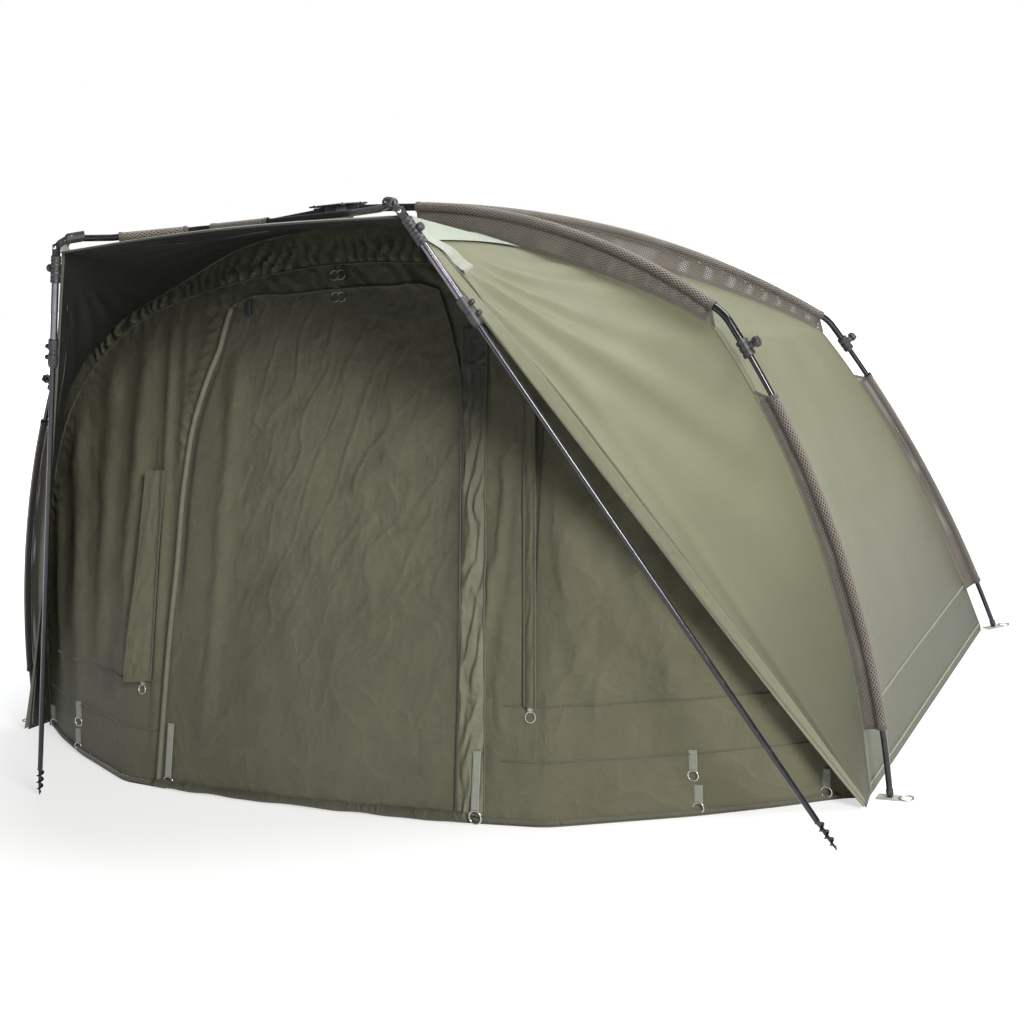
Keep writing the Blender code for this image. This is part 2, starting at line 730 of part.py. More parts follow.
def roof_grid():
    half = front_seam()[:roof_split() + 1, 0]
    x = np.concatenate((-half[::-1], half))
    share = x / half[-1]
    back = np.stack([x, np.full_like(x, -SEAM_GAP / 2), seam_height(x)], -1)
    front = brow_edge(share)
    rows = np.linspace(0, 1, ROOF_ROWS + 1)[:, None, None]
    grid = back[None] * (1 - rows) + front[None] * rows
    dip = ROOF_SAG * np.sin(math.pi * rows) * np.cos(share * math.pi / 2)[None, :, None]
    return grid + inward(grid) * dip


def wing_lines(side):
    """Seam on the rib and free front edge of a wing, from the brow corner to the foot."""
    flat = front_seam()[roof_split():]
    seam = np.stack([side * flat[:, 0], np.full(len(flat), -SEAM_GAP / 2), flat[:, 1]], -1)
    seam[0, 0] += side * SEAM_GAP
    corner = brow_edge(1.0) + np.array([SEAM_GAP, 0.0, 0.0])
    foot = np.array([flat[-1, 0] + WING_FOOT_OUT, -WING_FOOT_REACH, 0.0])
    steps = np.linalg.norm(np.diff(flat, axis=0), axis=1)
    along = np.concatenate(([0.0], np.cumsum(steps)))[:, None] / steps.sum()
    edge = corner * (1 - along) + foot * along
    edge = edge + inward(edge) * WING_SAG * np.sin(math.pi * along)
    return seam, edge * np.array([side, 1.0, 1.0])


def roof_and_wings():
    cloth_solid("roof_panel", roof_grid(), "side_cloth")
    for name, side in (("right", 1), ("left", -1)):
        seam, edge = wing_lines(side)
        cloth_solid("wing_" + name, ruled(seam, edge, WING_COLUMNS, WING_SAG), "side_cloth")


def wall_end():
    return front_seam()[-1, 0] - WALL_END_GAP


def wall_base(x):
    """How far the foot of the front wall stands forward, at a distance from the middle."""
    x = np.abs(x)
    bends = [(wall_end() * across, WALL_BASE_Y * forward) for across, forward in WALL_BASE_SHARES]
    line = [(0.0, WALL_BASE_Y), (DOOR_HALF, WALL_BASE_Y), *bends, (wall_end(), WALL_END_Y)]
    out = np.interp(x, *zip(*line))
    bulge = np.clip(1 - (x / DOOR_HALF) ** 2, 0, 1)
    return out + DOOR_BULGE * bulge


def wall_folds(x, share):
    """Forward swell of the gathers under the brow and of the pleats beside the door."""
    gathers = GATHER_DEEP * np.sin(2 * math.pi * x / GATHER_PITCH) * np.clip(share * 2 - 0.7, 0, 1)
    gathers = gathers * np.clip((1 - share) / (1 - DOOR_TOP_SHARE), 0, 1)
    beside = np.clip(1 - np.abs(np.abs(x) - DOOR_HALF - PLEAT_BAND / 2) / (PLEAT_BAND / 2), 0, 1)
    phase = 2 * math.pi * (np.abs(x) - DOOR_HALF) / PLEAT_PITCH
    pleats = PLEAT_DEEP * np.sin(phase) * beside * (1 - share)
    return gathers + pleats


def wall_point(x, share, top_drop=0.0):
    """A point of the front wall: x across, share 0 on the ground and 1 under the roof."""
    top = seam_height(x, WALL_UNDER_SEAM)
    base = -wall_base(x)
    y = base + (WALL_TOP_Y - base) * share - wall_folds(x, share)
    return np.stack(np.broadcast_arrays(x, y, top * share - top_drop), -1)


def front_wall():
    """Faceted wall that leans back under the roof, open where the door fits."""
    end = wall_end()
    inner = np.linspace(-DOOR_HALF, DOOR_HALF, DOOR_COLUMNS + 1)
    pleats = np.linspace(DOOR_HALF, DOOR_HALF + PLEAT_BAND, PLEAT_COLUMNS + 1)[1:]
    facets = pleats[-1] + (end - pleats[-1]) * np.array(FACET_SHARES)
    outer = np.concatenate((pleats, facets, [end]))
    columns = np.concatenate((-outer[::-1], inner, outer))
    rows = np.array(WALL_ROW_SHARES)
    x, share = np.meshgrid(columns, rows)
    cells = np.ones((len(rows) - 1, len(columns) - 1), bool)
    for i in range(len(rows) - 1):
        for j in range(len(columns) - 1):
            inside = abs(columns[j] + columns[j + 1]) / 2 < DOOR_HALF
            cells[i, j] = not (inside and rows[i + 1] <= DOOR_TOP_SHARE)
    cloth_solid("front_wall", wall_point(x, share), "front_cloth", cells)
    across = np.clip(inner, SEAM_GAP - DOOR_HALF, DOOR_HALF - SEAM_GAP)
    rows = np.linspace(0, DOOR_TOP_SHARE, DOOR_ROWS + 1)
    x, share = np.meshgrid(across, rows)
    drop = SEAM_GAP * 2 * (share == rows[-1])
    cloth_solid("door_panel", wall_point(x, share, drop), "front_cloth")


def bar_route():
    """Points of the brow bar's middle line, with its bends rounded, from left to right."""
    middle = roof_height(0.0, -BAR_MID_Y) + BAR_MID_OVER_ROOF
    rise = roof_height(BAR_RISE_X, -BAR_RISE_Y) + BAR_RISE_OVER_ROOF
    half = [
        Vector((0.0, -BAR_MID_Y, middle)),
        Vector((BAR_MID_HALF, -BAR_MID_Y, middle)),
        Vector((BAR_RISE_X, -BAR_RISE_Y, rise)),
        bar_end(1),
    ]
    route = [Vector((-p.x, p.y, p.z)) for p in reversed(half[1:])] + half
    out = [route[0]]
    for before, here, after in zip(route, route[1:], route[2:]):
        one, two = (before - here).normalized(), (after - here).normalized()
        angle = one.angle(two)
        if angle > math.radians(179.0):
            out.append(here)
            continue
        cut = min(BAR_BEND_R / math.tan(angle / 2), (before - here).length * 0.45,
                  (after - here).length * 0.45)
        start, end = here + one * cut, here + two * cut
        for k in range(BAR_STEPS):
            t = k / (BAR_STEPS - 1)
            out.append(start * (1 - t) ** 2 + here * 2 * t * (1 - t) + end * t ** 2)
    out.append(route[-1])
    return out


def bar_end(side):
    pivot = pole_pivot(side)
    return pivot + Vector((-side * BAR_END_IN, BAR_END_BACK, BAR_END_UP))


def pole_pivot(side):
    return Vector((side * PIVOT_X, -PIVOT_Y, BROW_HEIGHT + PIVOT_OVER_BROW))


def tangents(route):
    out = []
    for k in range(len(route)):
        low, high = max(k - 1, 0), min(k + 1, len(route) - 1)
        out.append((route[high] - route[low]).normalized())
    return out


def brow_bar():
    route = bar_route()
    rings = []
    for centre, along in zip(route, tangents(route)):
        first, second = side_axes(along, (0, 0, 1))
        rings.append(circle(centre, first, second, BAR_R, TUBE_SIDES))
    points, faces = loft(rings)
    return make_object("brow_bar", points, faces, "black_tube")


def roof_height(x, y):
    """Height of the roof's outer face above a point of the ground."""
    grid = roof_grid()
    across = [np.interp(-y, -line[:, 1], line[:, 0]) for line in grid.transpose(1, 0, 2)]
    heights = [np.interp(-y, -line[:, 1], line[:, 2]) for line in grid.transpose(1, 0, 2)]
    return float(np.interp(x, across, heights))


def brow_sleeves():
    """Short tunnels that tie the brow bar down to the roof."""
    route = bar_route()
    xs = [p.x for p in route]
    for name, (low, high) in zip(("middle", "side"), BROW_SLEEVE_SPAN_SHARES):
        frames, webs = [], []
        for x in np.linspace(low, high, BROW_SLEEVE_STEPS + 1) * BAR_RISE_X:
            k = min(max(int(np.searchsorted(xs, x)) - 1, 0), len(route) - 2)
            share = (x - xs[k]) / (xs[k + 1] - xs[k])
            centre = route[k].lerp(route[k + 1], share)
            along = (route[k + 1] - route[k]).normalized()
            across = along.cross(Vector((0, 0, 1))).normalized()
            up = across.cross(along)
            frames.append((centre, up, across))
            webs.append(centre.z - roof_height(centre.x, centre.y) - WEB_GAP)
        web_sleeve("brow_sleeve_" + name, frames, BAR_R, webs)


def pole_axes(side):
    """Direction of a storm pole, its hinge axis towards the front, and its length."""
    tip = (RIGHT_TIP_X, -RIGHT_TIP_Y, 0.0) if side > 0 else (-LEFT_TIP_X, -LEFT_TIP_Y, 0.0)
    pivot = pole_pivot(side)
    run = Vector(tip) - pivot
    along = run.normalized()
    hinge, _ = side_axes(along, (0, -1, 0))
    return pivot, along, hinge, run.length


def brow_bracket(side, name):
    """Collar on the brow bar's end with a lug and a pin for the storm pole."""
    pivot, along, hinge, _ = pole_axes(side)
    route = bar_route()
    if side > 0:
        end, back = route[-1], (route[-2] - route[-1]).normalized()
    else:
        end, back = route[0], (route[1] - route[0]).normalized()
    bore = BAR_R + RUN
    profile = (
        (-BRACKET_CAP, BRACKET_R * 0.7), (-BRACKET_CAP / 2, BRACKET_R), (BRACKET_GRIP, BRACKET_R),
        (BRACKET_GRIP, bore), (-TOUCH, bore),
    )
    points, faces = turned(profile, end, back, (0, 0, 1), TUBE_SIDES)
    bracket = make_object("brow_bracket_" + name, points, faces, "black_plastic")
    half = BRACKET_LUG_THICK / 2
    profile = ((-half, BRACKET_LUG_R), (half, BRACKET_LUG_R))
    points, faces = turned(profile, pivot, hinge, along, TUBE_SIDES)
    lug = make_object("lug", points, faces, "black_plastic")
    cap = end - back * BRACKET_CAP * 0.65
    flat, _ = side_axes(hinge, cap - pivot)
    knee = pivot + flat * BRACKET_KNEE
    arms = []
    for start, stop, extra in ((pivot, knee, half), (knee, cap, 0.0)):
        way = (stop - start).normalized()
        first, second = side_axes(way, hinge)
        middle = (start + stop + way * extra) / 2
        halves = (half, BRACKET_LUG_R * 0.8, ((stop - start).length + extra) / 2)
        points, faces = box_points(middle, (first, second, way), halves)
        arms.append(make_object("arm", points, faces, "black_plastic"))
    pin_reach = half + FORK_CHEEK + RUN * 4
    profile = ((-pin_reach, PIN_R), (pin_reach, PIN_R))
    points, faces = turned(profile, pivot, hinge, along, TUBE_SIDES)
    pin = make_object("pin", points, faces, "black_plastic")
    return join(bracket, lug, *arms, pin)


def storm_pole(side, name):
    """Forked head, grip, outer tube, lock, thumb screw and the sliding inner tube of one pole."""
    pivot, along, hinge, length = pole_axes(side)
    cross = along.cross(hinge)
    gap = BRACKET_LUG_THICK / 2 + RUN
    middle = (GRIP_FROM + GRIP_LAP - FORK_PAST) / 2
    profile = [(GRIP_FROM, GRIP_R * 0.8)]
    ridge = (GRIP_TO - GRIP_FROM) / (GRIP_RIDGES * 2 + 1)
    for k in range(GRIP_RIDGES * 2 + 1):
        radius = GRIP_R if k % 2 == 0 else GRIP_R - GRIP_RIDGE_DEEP
        profile.append((GRIP_FROM + ridge * (k + 0.15), radius))
        profile.append((GRIP_FROM + ridge * (k + 0.85), radius))
    bore = POLE_R + TOUCH
    profile += [(GRIP_TO, GRIP_R * 0.85), (GRIP_TO, bore), (POLE_TUBE_FROM - TOUCH, bore)]
    points, faces = turned(profile, pivot, along, hinge, TUBE_SIDES)
    head = make_object("pole_head_" + name, points, faces, "black_plastic", pivot)
    for turn in (-1, 1):
        centre = pivot + along * middle + hinge * turn * (gap + FORK_CHEEK / 2)
        halves = ((GRIP_FROM + GRIP_LAP + FORK_PAST) / 2, FORK_CHEEK / 2, FORK_WIDE / 2)
        points, faces = box_points(centre, (along, hinge, cross), halves)
        join(head, make_object("cheek", points, faces, "black_plastic"))
    reach = gap + FORK_CHEEK * 2
    points, faces = turned(((-reach, PIN_R + RUN), (reach, PIN_R + RUN)), pivot, hinge, along, TUBE_SIDES)
    join(head, make_object("hole", points, faces, "steel"), mode="DIFFERENCE")

    profile = (
        (POLE_TUBE_FROM, POLE_R), (POLE_TUBE_TO, POLE_R), (POLE_TUBE_TO, POLE_BORE_R),
        (POLE_TUBE_FROM + POLE_R, POLE_BORE_R),
    )
    points, faces = turned(profile, pivot, along, hinge, TUBE_SIDES)
    make_object("pole_outer_" + name, points, faces, "black_tube", pivot)

    lip = POLE_TUBE_TO + TOUCH * 2
    bevel = LOCK_R * 0.15
    profile = (
        (LOCK_FROM, POLE_R + TOUCH), (LOCK_FROM, LOCK_R - bevel), (LOCK_FROM + bevel, LOCK_R),
        (LOCK_TO - bevel, LOCK_R), (LOCK_TO, LOCK_R - bevel), (LOCK_TO, POLE_BORE_R),
        (lip, POLE_BORE_R), (lip, POLE_R + TOUCH),
    )
    points, faces = turned(profile, pivot, along, hinge, TUBE_SIDES, closed=True)
    lock = make_object("pole_lock_" + name, points, faces, "black_plastic", pivot)
    low = (POLE_R + TOUCH + LOCK_R) / 2
    for share in LOCK_KNOB_SHARES:
        centre = pivot + along * (LOCK_FROM + (LOCK_TO - LOCK_FROM) * share)
        profile = ((low, LOCK_KNOB_R), (LOCK_R + LOCK_KNOB_HEIGHT, LOCK_KNOB_R))
        points, faces = turned(profile, centre, -cross * side, along, TUBE_SIDES)
        join(lock, make_object("knob", points, faces, "black_plastic"))

    stem = GRIP_R + TOUCH
    profile = [
        (stem, SCREW_R * 0.8), (stem + SCREW_HEIGHT * 0.2, SCREW_R), (stem + SCREW_HEIGHT * 0.8, SCREW_R),
        (stem + SCREW_HEIGHT, SCREW_R * 0.75),
    ]
    centre = pivot + along * (GRIP_FROM + SCREW_ALONG)
    way = -cross * side
    points, faces = turned(profile, centre, way, along, TUBE_SIDES)
    make_object("thumb_screw_" + name, points, faces, "black_plastic", centre + way * stem)
    inner_pole(name, pivot, along, hinge, length)


def inner_pole(name, pivot, along, hinge, length):
    """Sliding tube with an auger: its ridge climbs as a true screw round the core."""
    _, _, _, right_length = pole_axes(1)
    top = length - (right_length - INNER_TOP_RIGHT)
    neck = length - AUGER_LENGTH
    rings = []
    first, second = (np.asarray(v, float) for v in side_axes(along, hinge))
    start = np.asarray(pivot, float)
    way = np.asarray(along, float)
    turn = np.arange(AUGER_SIDES) * 2 * math.pi / AUGER_SIDES
    spokes = np.outer(np.cos(turn), first) + np.outer(np.sin(turn), second)
    for place in (top, neck - POLE_R):
        rings.append(start + way * place + spokes * POLE_INNER_R)
    for k in range(AUGER_STEPS + 1):
        share = k / AUGER_STEPS
        phase = turn - share * AUGER_TURNS * 2 * math.pi
        ridge = np.clip(np.cos(phase), 0, 1) ** 2
        core = AUGER_CORE_R * (1 - 0.75 * share ** 3)
        thread = (AUGER_R - AUGER_CORE_R) * ridge * min(1.0, (1 - share) * 4) * min(1.0, share * 8)
        lift = min(1.0, share * 6)
        radius = POLE_INNER_R * (1 - lift) + core * lift + thread
        rings.append(start + way * (neck + AUGER_LENGTH * share) + spokes * radius[:, None])
    points, faces = loft(rings)
    lowest = min(p[2] for p in points)
    points = points - way * (lowest / way[2])
    make_object("pole_inner_" + name, points, faces, "black_tube", pivot)


def wall_at(x, height):
    """Point of the front wall's outer face at a distance from the middle and a height."""
    return Vector(wall_point(x, height / float(wall_point(x, 1.0)[2])))


def wall_frame(x, height):
    """Point of the front wall with its outward normal, up and sideways directions."""
    step = SLIDER_WIDE / 2
    place = wall_at(x, height)
    over = (wall_at(x + step, height) - wall_at(x - step, height)).normalized()
    up = (wall_at(x, height + step) - wall_at(x, height - step)).normalized()
    normal = over.cross(up).normalized()
    return place, normal, normal.cross(over), over


def zip_slider(side, name):
    """Slider on the window flap's zip, with an eye, and the ring that hangs in it."""
    place, normal, up, over = wall_frame(side * ZIP_X, ZIP_HEIGHT)
    centre = place + normal * (SLIDER_CLEAR + SLIDER_THICK / 2)
    halves = (SLIDER_WIDE / 2, SLIDER_THICK / 2, SLIDER_TALL / 2)
    points, faces = box_points(centre, (over, normal, up), halves)
    slider = make_object("zip_slider_" + name, points, faces, "steel", place)
    half = SLIDER_EYE_THICK / 2
    eye = centre - up * (SLIDER_TALL / 2 + SLIDER_EYE_OUT * 0.55)
    profile = ((-half, SLIDER_EYE_OUT), (half, SLIDER_EYE_OUT), (half, SLIDER_EYE_R), (-half, SLIDER_EYE_R))
    points, faces = turned(profile, eye, over, up, TUBE_SIDES, closed=True)
    join(slider, make_object("eye", points, faces, "steel"))
    points, faces = torus(eye - up * RING_R, over, -up, RING_R, RING_WIRE)
    make_object("zip_ring_" + name, points, faces, "steel", eye)


def door_tab(side, name):
    """Webbing tab beside the door's foot, with its pegging ring standing on the ground."""
    x = side * TAB_X
    rows = []
    for share in np.linspace(1, 0, TAB_STEPS + 1):
        height = TAB_FOOT + (TAB_TOP - TAB_FOOT) * share
        wall = wall_point(x, height / float(wall_point(x, 1.0)[2]))
        rows.append(Vector(wall))
    rows[-1].y = float(wall_point(x, 0.0)[1])
    flat = Vector((1.0, 0.0, 0.0))
    out = Vector((0.0, -1.0, 0.0))
    clear = TAB_CLEAR
    rings = []
    for centre in rows:
        low, high = centre + out * clear, centre + out * (clear + TAB_THICK)
        rings.append([low - flat * TAB_WIDE / 2, low + flat * TAB_WIDE / 2,
                      high + flat * TAB_WIDE / 2, high - flat * TAB_WIDE / 2])
    points, faces = loft(rings)
    tab = make_object("door_tab_" + name, points, faces, "webbing")
    centre = rows[-1] + out * (clear + TAB_THICK / 2)
    centre.z = PEG_RING_R + PEG_WIRE
    points, faces = torus(centre, flat, Vector((0, 0, 1)), PEG_RING_R, PEG_WIRE)
    return join(tab, make_object("ring", points, faces, "steel"))


def stand_on_origin():
    """Parent every piece to one empty and move it so that the box stands centred on the origin."""
    bpy.context.view_layer.update()
    pieces = [item for item in bpy.data.objects if item.type == "MESH"]
    corners = np.array([item.matrix_world @ v.co for item in pieces for v in item.data.vertices])
    low, high = corners.min(0), corners.max(0)
    tent = bpy.data.objects.new("tent", None)
    bpy.context.scene.collection.objects.link(tent)
    for item in pieces:
        item.parent = tent
        item.data.shade_smooth()
        item.data.set_sharp_from_angle(angle=math.radians(35.0))
    tent.location = (-(low[0] + high[0]) / 2, -(low[1] + high[1]) / 2, -low[2])
    bpy.context.view_layer.update()


def main():
    remove_everything()
    side_panels()
    roof_and_wings()
    front_wall()
    for rib in RIBS.values():
        upper_tube(rib)
        leg_tube(rib)
        rib_sleeves(rib)
        elbow_clamp(rib)
        foot_strap(rib)
    hub()
    brow_bar()
    brow_sleeves()
    for side, name in ((1, "right"), (-1, "left")):
        brow_bracket(side, name)
        storm_pole(side, name)
        zip_slider(side, name)
        door_tab(side, name)
    stand_on_origin()


main()
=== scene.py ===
"""A four-rib bivvy tent with a peaked brow, dressed over its solid model.

Lengths are in metres, +Z is up and the tent faces -Y. Shapes are laid out from the line between
the front feet, with the hub's axis at x = 0, y = 0, and SET_BACK moves them to the model's frame.
"""
import json
import math

import bpy
import numpy as np
from mathutils import Matrix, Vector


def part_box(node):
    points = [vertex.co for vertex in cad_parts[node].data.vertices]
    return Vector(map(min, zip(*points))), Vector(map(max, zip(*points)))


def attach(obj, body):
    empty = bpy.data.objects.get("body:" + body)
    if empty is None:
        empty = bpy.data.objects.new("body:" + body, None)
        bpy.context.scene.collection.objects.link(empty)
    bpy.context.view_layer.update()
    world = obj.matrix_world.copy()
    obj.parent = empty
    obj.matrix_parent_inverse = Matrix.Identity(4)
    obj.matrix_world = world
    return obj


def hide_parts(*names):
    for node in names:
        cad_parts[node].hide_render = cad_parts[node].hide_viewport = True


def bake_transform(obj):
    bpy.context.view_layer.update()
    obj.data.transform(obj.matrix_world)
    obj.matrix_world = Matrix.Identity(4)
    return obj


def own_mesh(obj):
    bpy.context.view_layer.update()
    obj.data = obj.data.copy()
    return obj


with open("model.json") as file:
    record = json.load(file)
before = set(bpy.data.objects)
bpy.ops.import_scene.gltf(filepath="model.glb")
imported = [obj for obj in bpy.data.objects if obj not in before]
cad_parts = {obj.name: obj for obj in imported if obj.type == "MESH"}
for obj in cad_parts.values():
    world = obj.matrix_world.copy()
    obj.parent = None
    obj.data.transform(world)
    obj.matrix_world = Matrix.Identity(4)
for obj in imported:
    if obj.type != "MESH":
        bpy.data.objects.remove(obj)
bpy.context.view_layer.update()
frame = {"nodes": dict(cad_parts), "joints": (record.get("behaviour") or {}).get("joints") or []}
SET_BACK = next(j["pos_m"][1] for j in frame["joints"] if j["name"] == "front_right_fold")
SIDES = (("right", 1), ("left", -1))

# Sizes shared with the solid model
PIN_HEIGHT, PIN_CIRCLE = 1.428, 0.055
BROW_REACH, BROW_HALF, BROW_HEIGHT, BROW_CROWN = 0.47, 0.485, 1.388, 0.014
TUBE_R, LEG_R, TUBE_PAST_PIN = 0.009, 0.0071, 0.006
ELBOW_R, SOCKET, LEG_HIDDEN, FOOT_END_SHARE = 0.12, 0.078, 0.040, 0.8
STRAP_THICK, STRAP_WIDE, STRAP_BACK, STRAP_OUT = 0.002, 0.034, 0.03, 0.028
FLOOR_GAP = 0.0003
RING_R, RING_WIRE = 0.016, 0.002
WEB_DEPTH, WEB_GAP = 0.07, 0.0004
WEB_PLACE_SHARES = (0.0, 0.12, 0.25, 0.38, 0.5, 0.62, 0.8, 1.0)
WEB_DEPTH_SHARES = (0.51, 0.62, 1.0, 0.86, 0.56, 0.5, 0.59, 0.66)
HUB_SEAM_R = 0.035 * 1.15
CLOTH_AIM_Y, SEAM_GAP = 0.6, 0.001
SIDE_SAG, REAR_SAG, WING_SAG, ROOF_SAG = 0.02, 0.03, 0.012, 0.01
WING_FOOT_REACH, WING_FOOT_OUT = 0.07, 0.012
WALL_BASE_Y, WALL_END_Y, WALL_END_GAP, DOOR_HALF, DOOR_BULGE = 0.39, 0.016, 0.028, 0.45, 0.016
WALL_BASE_SHARES = ((0.506, 0.949), (0.746, 0.564), (0.883, 0.295), (0.963, 0.108))
UPPER_SLEEVE_FROM, UPPER_SLEEVE_END_GAP, UPPER_SLEEVE_STEPS = 0.18, 0.03, 8
LOWER_SLEEVE_AFTER_SOCKET, LOWER_SLEEVE_FOOT_GAP, LOWER_SLEEVE_STEPS = 0.062, 0.165, 5
CLAMP_LENGTH, CLAMP_PAST_SOCKET, CLAMP_R, BOSS_R, BOSS_HEIGHT = 0.042, 0.010, 0.0145, 0.009, 0.009
KNOB_R, KNOB_HEIGHT, KNOB_LOBES = 0.0135, 0.013, 5
BAR_R, BAR_MID_Y, BAR_MID_HALF, BAR_MID_OVER_ROOF = 0.008, 0.262, 0.21, 0.0215
BAR_RISE_X, BAR_RISE_Y, BAR_RISE_OVER_ROOF, BAR_BEND_R = 0.385, 0.405, 0.0270, 0.10
PIVOT = (0.49, -0.488, BROW_HEIGHT + 0.012)
BAR_END_IN, BAR_END_BACK, BAR_END_UP = 0.03, 0.017, 0.018
POLE_TIPS = {"right": (1.295, -0.321, 0.0), "left": (-0.799, -0.512, 0.0)}
POLE_R, POLE_INNER_R, POLE_TUBE_FROM, POLE_TUBE_TO = 0.0085, 0.0066, 0.028, 0.275
GRIP_FROM, GRIP_TO, GRIP_R = 0.020, 0.085, 0.0122
LOCK_FROM, LOCK_TO, LOCK_R = 0.222, 0.292, 0.0125
AUGER_LENGTH, AUGER_R, AUGER_CORE_R, AUGER_TURNS = 0.075, 0.0105, 0.0045, 4.0
SCREW_R, SCREW_HEIGHT, SCREW_ALONG = 0.0095, 0.011, 0.032
ZIP_X, ZIP_HEIGHT = 0.582, 0.262
CLOTH_SEEN, CLOTH_RIM_ANGLE = 0.0011, 62

# Sizes of the cloth's trim, and its places on the wall
PIPING_R, TAB_WIDE, TAB_THICK = 0.0022, 0.020, 0.0022
TAB_RING_R, TAB_RING_WIRE = 0.0125, 0.0016
WALL_SPLIT_X, FLAP_X, WALL_HEM_HEIGHT, SKIRT_FOLD_HEIGHT = 0.62, 0.655, 0.010, 0.14
DOOR_TALL, DOOR_LID_LEFT, DOOR_LID_RIGHT, DOOR_FOOT = 1.24, -0.37, 0.345, 0.018
DOOR_TAB_LIFTS = {"right": 0.017, "left": 0.009}
UPPER_SLEEVE_LONGER, LOWER_SLEEVE_LATER, NET_GAP = 0.020, 0.052, 0.0028
HUB_PLATE_SHARE, GRIP_RIDGES = 0.78, 13
PANEL_STEPS, PANEL_KEEP = 121, 0.08
FORWARD, WALL_OUT, ACROSS, UP = (0, -1, 0), (0.0, -1.0, 0.2), (1, 0, 0), (0, 0, 1)

# Tables of shared shader groups and of finishes, which make_finishes fills
GROUPS, FINISHES = {}, {}

# Where the camera stood, from the fit to the photograph
CAMERA_AT = (2.30443, -3.35998, 1.33493)
CAMERA_AZIMUTH, CAMERA_PITCH, CAMERA_ROLL = 0.512656, -0.173952, -0.094924
CAMERA_PIXELS, FRAME_PIXELS, SENSOR_MM = 1587.536, 1024, 36.0


# ---------------------------------------------------------------------------
# Arrays, paths and meshes
# ---------------------------------------------------------------------------
def unit(v):
    """Vectors scaled to a length of 1."""
    v = np.asarray(v, float)
    return v / np.maximum(np.linalg.norm(v, axis=-1, keepdims=True), 1e-12)


def through(places, knots, values):
    """Cubic Hermite through the knots, whose slope at each knot comes from its neighbours."""
    places, knots, values = (np.asarray(v, float) for v in (places, knots, values))
    slopes = np.gradient(values, knots, axis=0)
    k = np.clip(np.searchsorted(knots, places, side="right") - 1, 0, len(knots) - 2)
    step = knots[k + 1] - knots[k]
    t = np.clip((places - knots[k]) / step, 0, 1)
    if values.ndim > 1:
        t, step = t[..., None], step[..., None]
    return (
        values[k] * (2 * t**3 - 3 * t**2 + 1) + slopes[k] * step * (t**3 - 2 * t**2 + t)
        + values[k + 1] * (3 * t**2 - 2 * t**3) + slopes[k + 1] * step * (t**3 - t**2)
    )


def ease(value, low, high):
    """0 below low, 1 above high, and 3t^2 - 2t^3 between."""
    t = np.clip((value - low) / (high - low), 0, 1)
    return t * t * (3 - 2 * t)


def drift(a, b, seed, longest, shortest, waves=9):
    """Uneven swell of about -1 to 1: seeded sines over (a, b), each with its own length and turn."""
    chance = np.random.default_rng(seed)
    length = shortest * (longest / shortest) ** np.linspace(0, 1, waves)
    turn, start = chance.random((2, waves)) * 2 * math.pi
    a, b = np.broadcast_arrays(np.asarray(a, float), np.asarray(b, float))
    phase = (a[..., None] * np.cos(turn) + b[..., None] * np.sin(turn)) * 2 * math.pi / length + start
    weight = length**0.7
    return (np.sin(phase) * weight).sum(-1) / np.sqrt((weight**2).sum() / 2) / 1.6


def crumple(a, b, seed, size):
    """Sharp-edged creases: 1 less the size of a slow uneven swell, to a power, laid over two more."""
    first = 1 - np.clip(np.abs(drift(a, b, seed, size * 3.2, size, 8)) * 2.2, 0, 1)
    second = 1 - np.clip(np.abs(drift(a, b, seed + 50, size * 1.5, size * 0.45, 8)) * 2.0, 0, 1)
    return first**1.5 + 0.45 * second**1.3


def ridges(phase, sharp=1.6):
    """Rounded ridges with wide hollows between them: ((1 + cos phase) / 2) to a power, from 0 to 1."""
    return ((1 + np.cos(phase)) / 2) ** sharp


def sheet_normals(grid):
    """Unit normals of a grid of points: the cross of its two central differences."""
    return unit(np.cross(np.gradient(grid, axis=0), np.gradient(grid, axis=1)))


def grid_faces(rows, columns, wrap=False):
    """Quads between neighbouring points of a grid; wrap joins the last column to the first."""
    i, j = np.meshgrid(np.arange(rows - 1), np.arange(columns if wrap else columns - 1), indexing="ij")
    n = (j + 1) % columns
    quads = np.stack([i * columns + j, i * columns + n, (i + 1) * columns + n, (i + 1) * columns + j], -1)
    return quads.reshape(-1, 4)


def named(finishes):
    """One finish's name, or several, as a row of names."""
    return (finishes,) if isinstance(finishes, str) else finishes


def piece(name, points, faces, finishes, body, uv=None, kinds=None, edge=None, marks=None):
    """Puts arrays into a mesh at the model's place and rides it on a body."""
    points = np.asarray(points, float).reshape(-1, 3) + (0.0, SET_BACK, 0.0)
    mesh = bpy.data.meshes.new(name)
    mesh.from_pydata(points.tolist(), [], [list(face) for face in faces])
    for finish in named(finishes):
        mesh.materials.append(FINISHES[finish])
    if kinds is not None:
        mesh.polygons.foreach_set("material_index", np.asarray(kinds, np.int32))
    if uv is not None:
        corners = np.empty(len(mesh.loops), np.int32)
        mesh.loops.foreach_get("vertex_index", corners)
        layer = mesh.uv_layers.new(name="cloth")
        flat = np.asarray(uv, np.float32).reshape(-1, 2)[corners]
        layer.data.foreach_set("uv", flat.ravel())
    for mark, values in (marks or {}).items():
        store = mesh.attributes.new(mark, "FLOAT", "POINT")
        store.data.foreach_set("value", np.asarray(values, np.float32).ravel())
    mesh.shade_smooth()
    if edge is not None:
        mesh.set_sharp_from_angle(angle=math.radians(edge))
    made = bpy.data.objects.new(name, mesh)
    bpy.context.scene.collection.objects.link(made)
    if body:
        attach(made, body)
    return made


def signed_volume(points, triangles):
    """The sum of a . (b x c) / 6 over the triangles; above 0 when they face outwards."""
    a, b, c = (points[triangles[:, k]] for k in range(3))
    return float((a * np.cross(b, c)).sum() / 6)


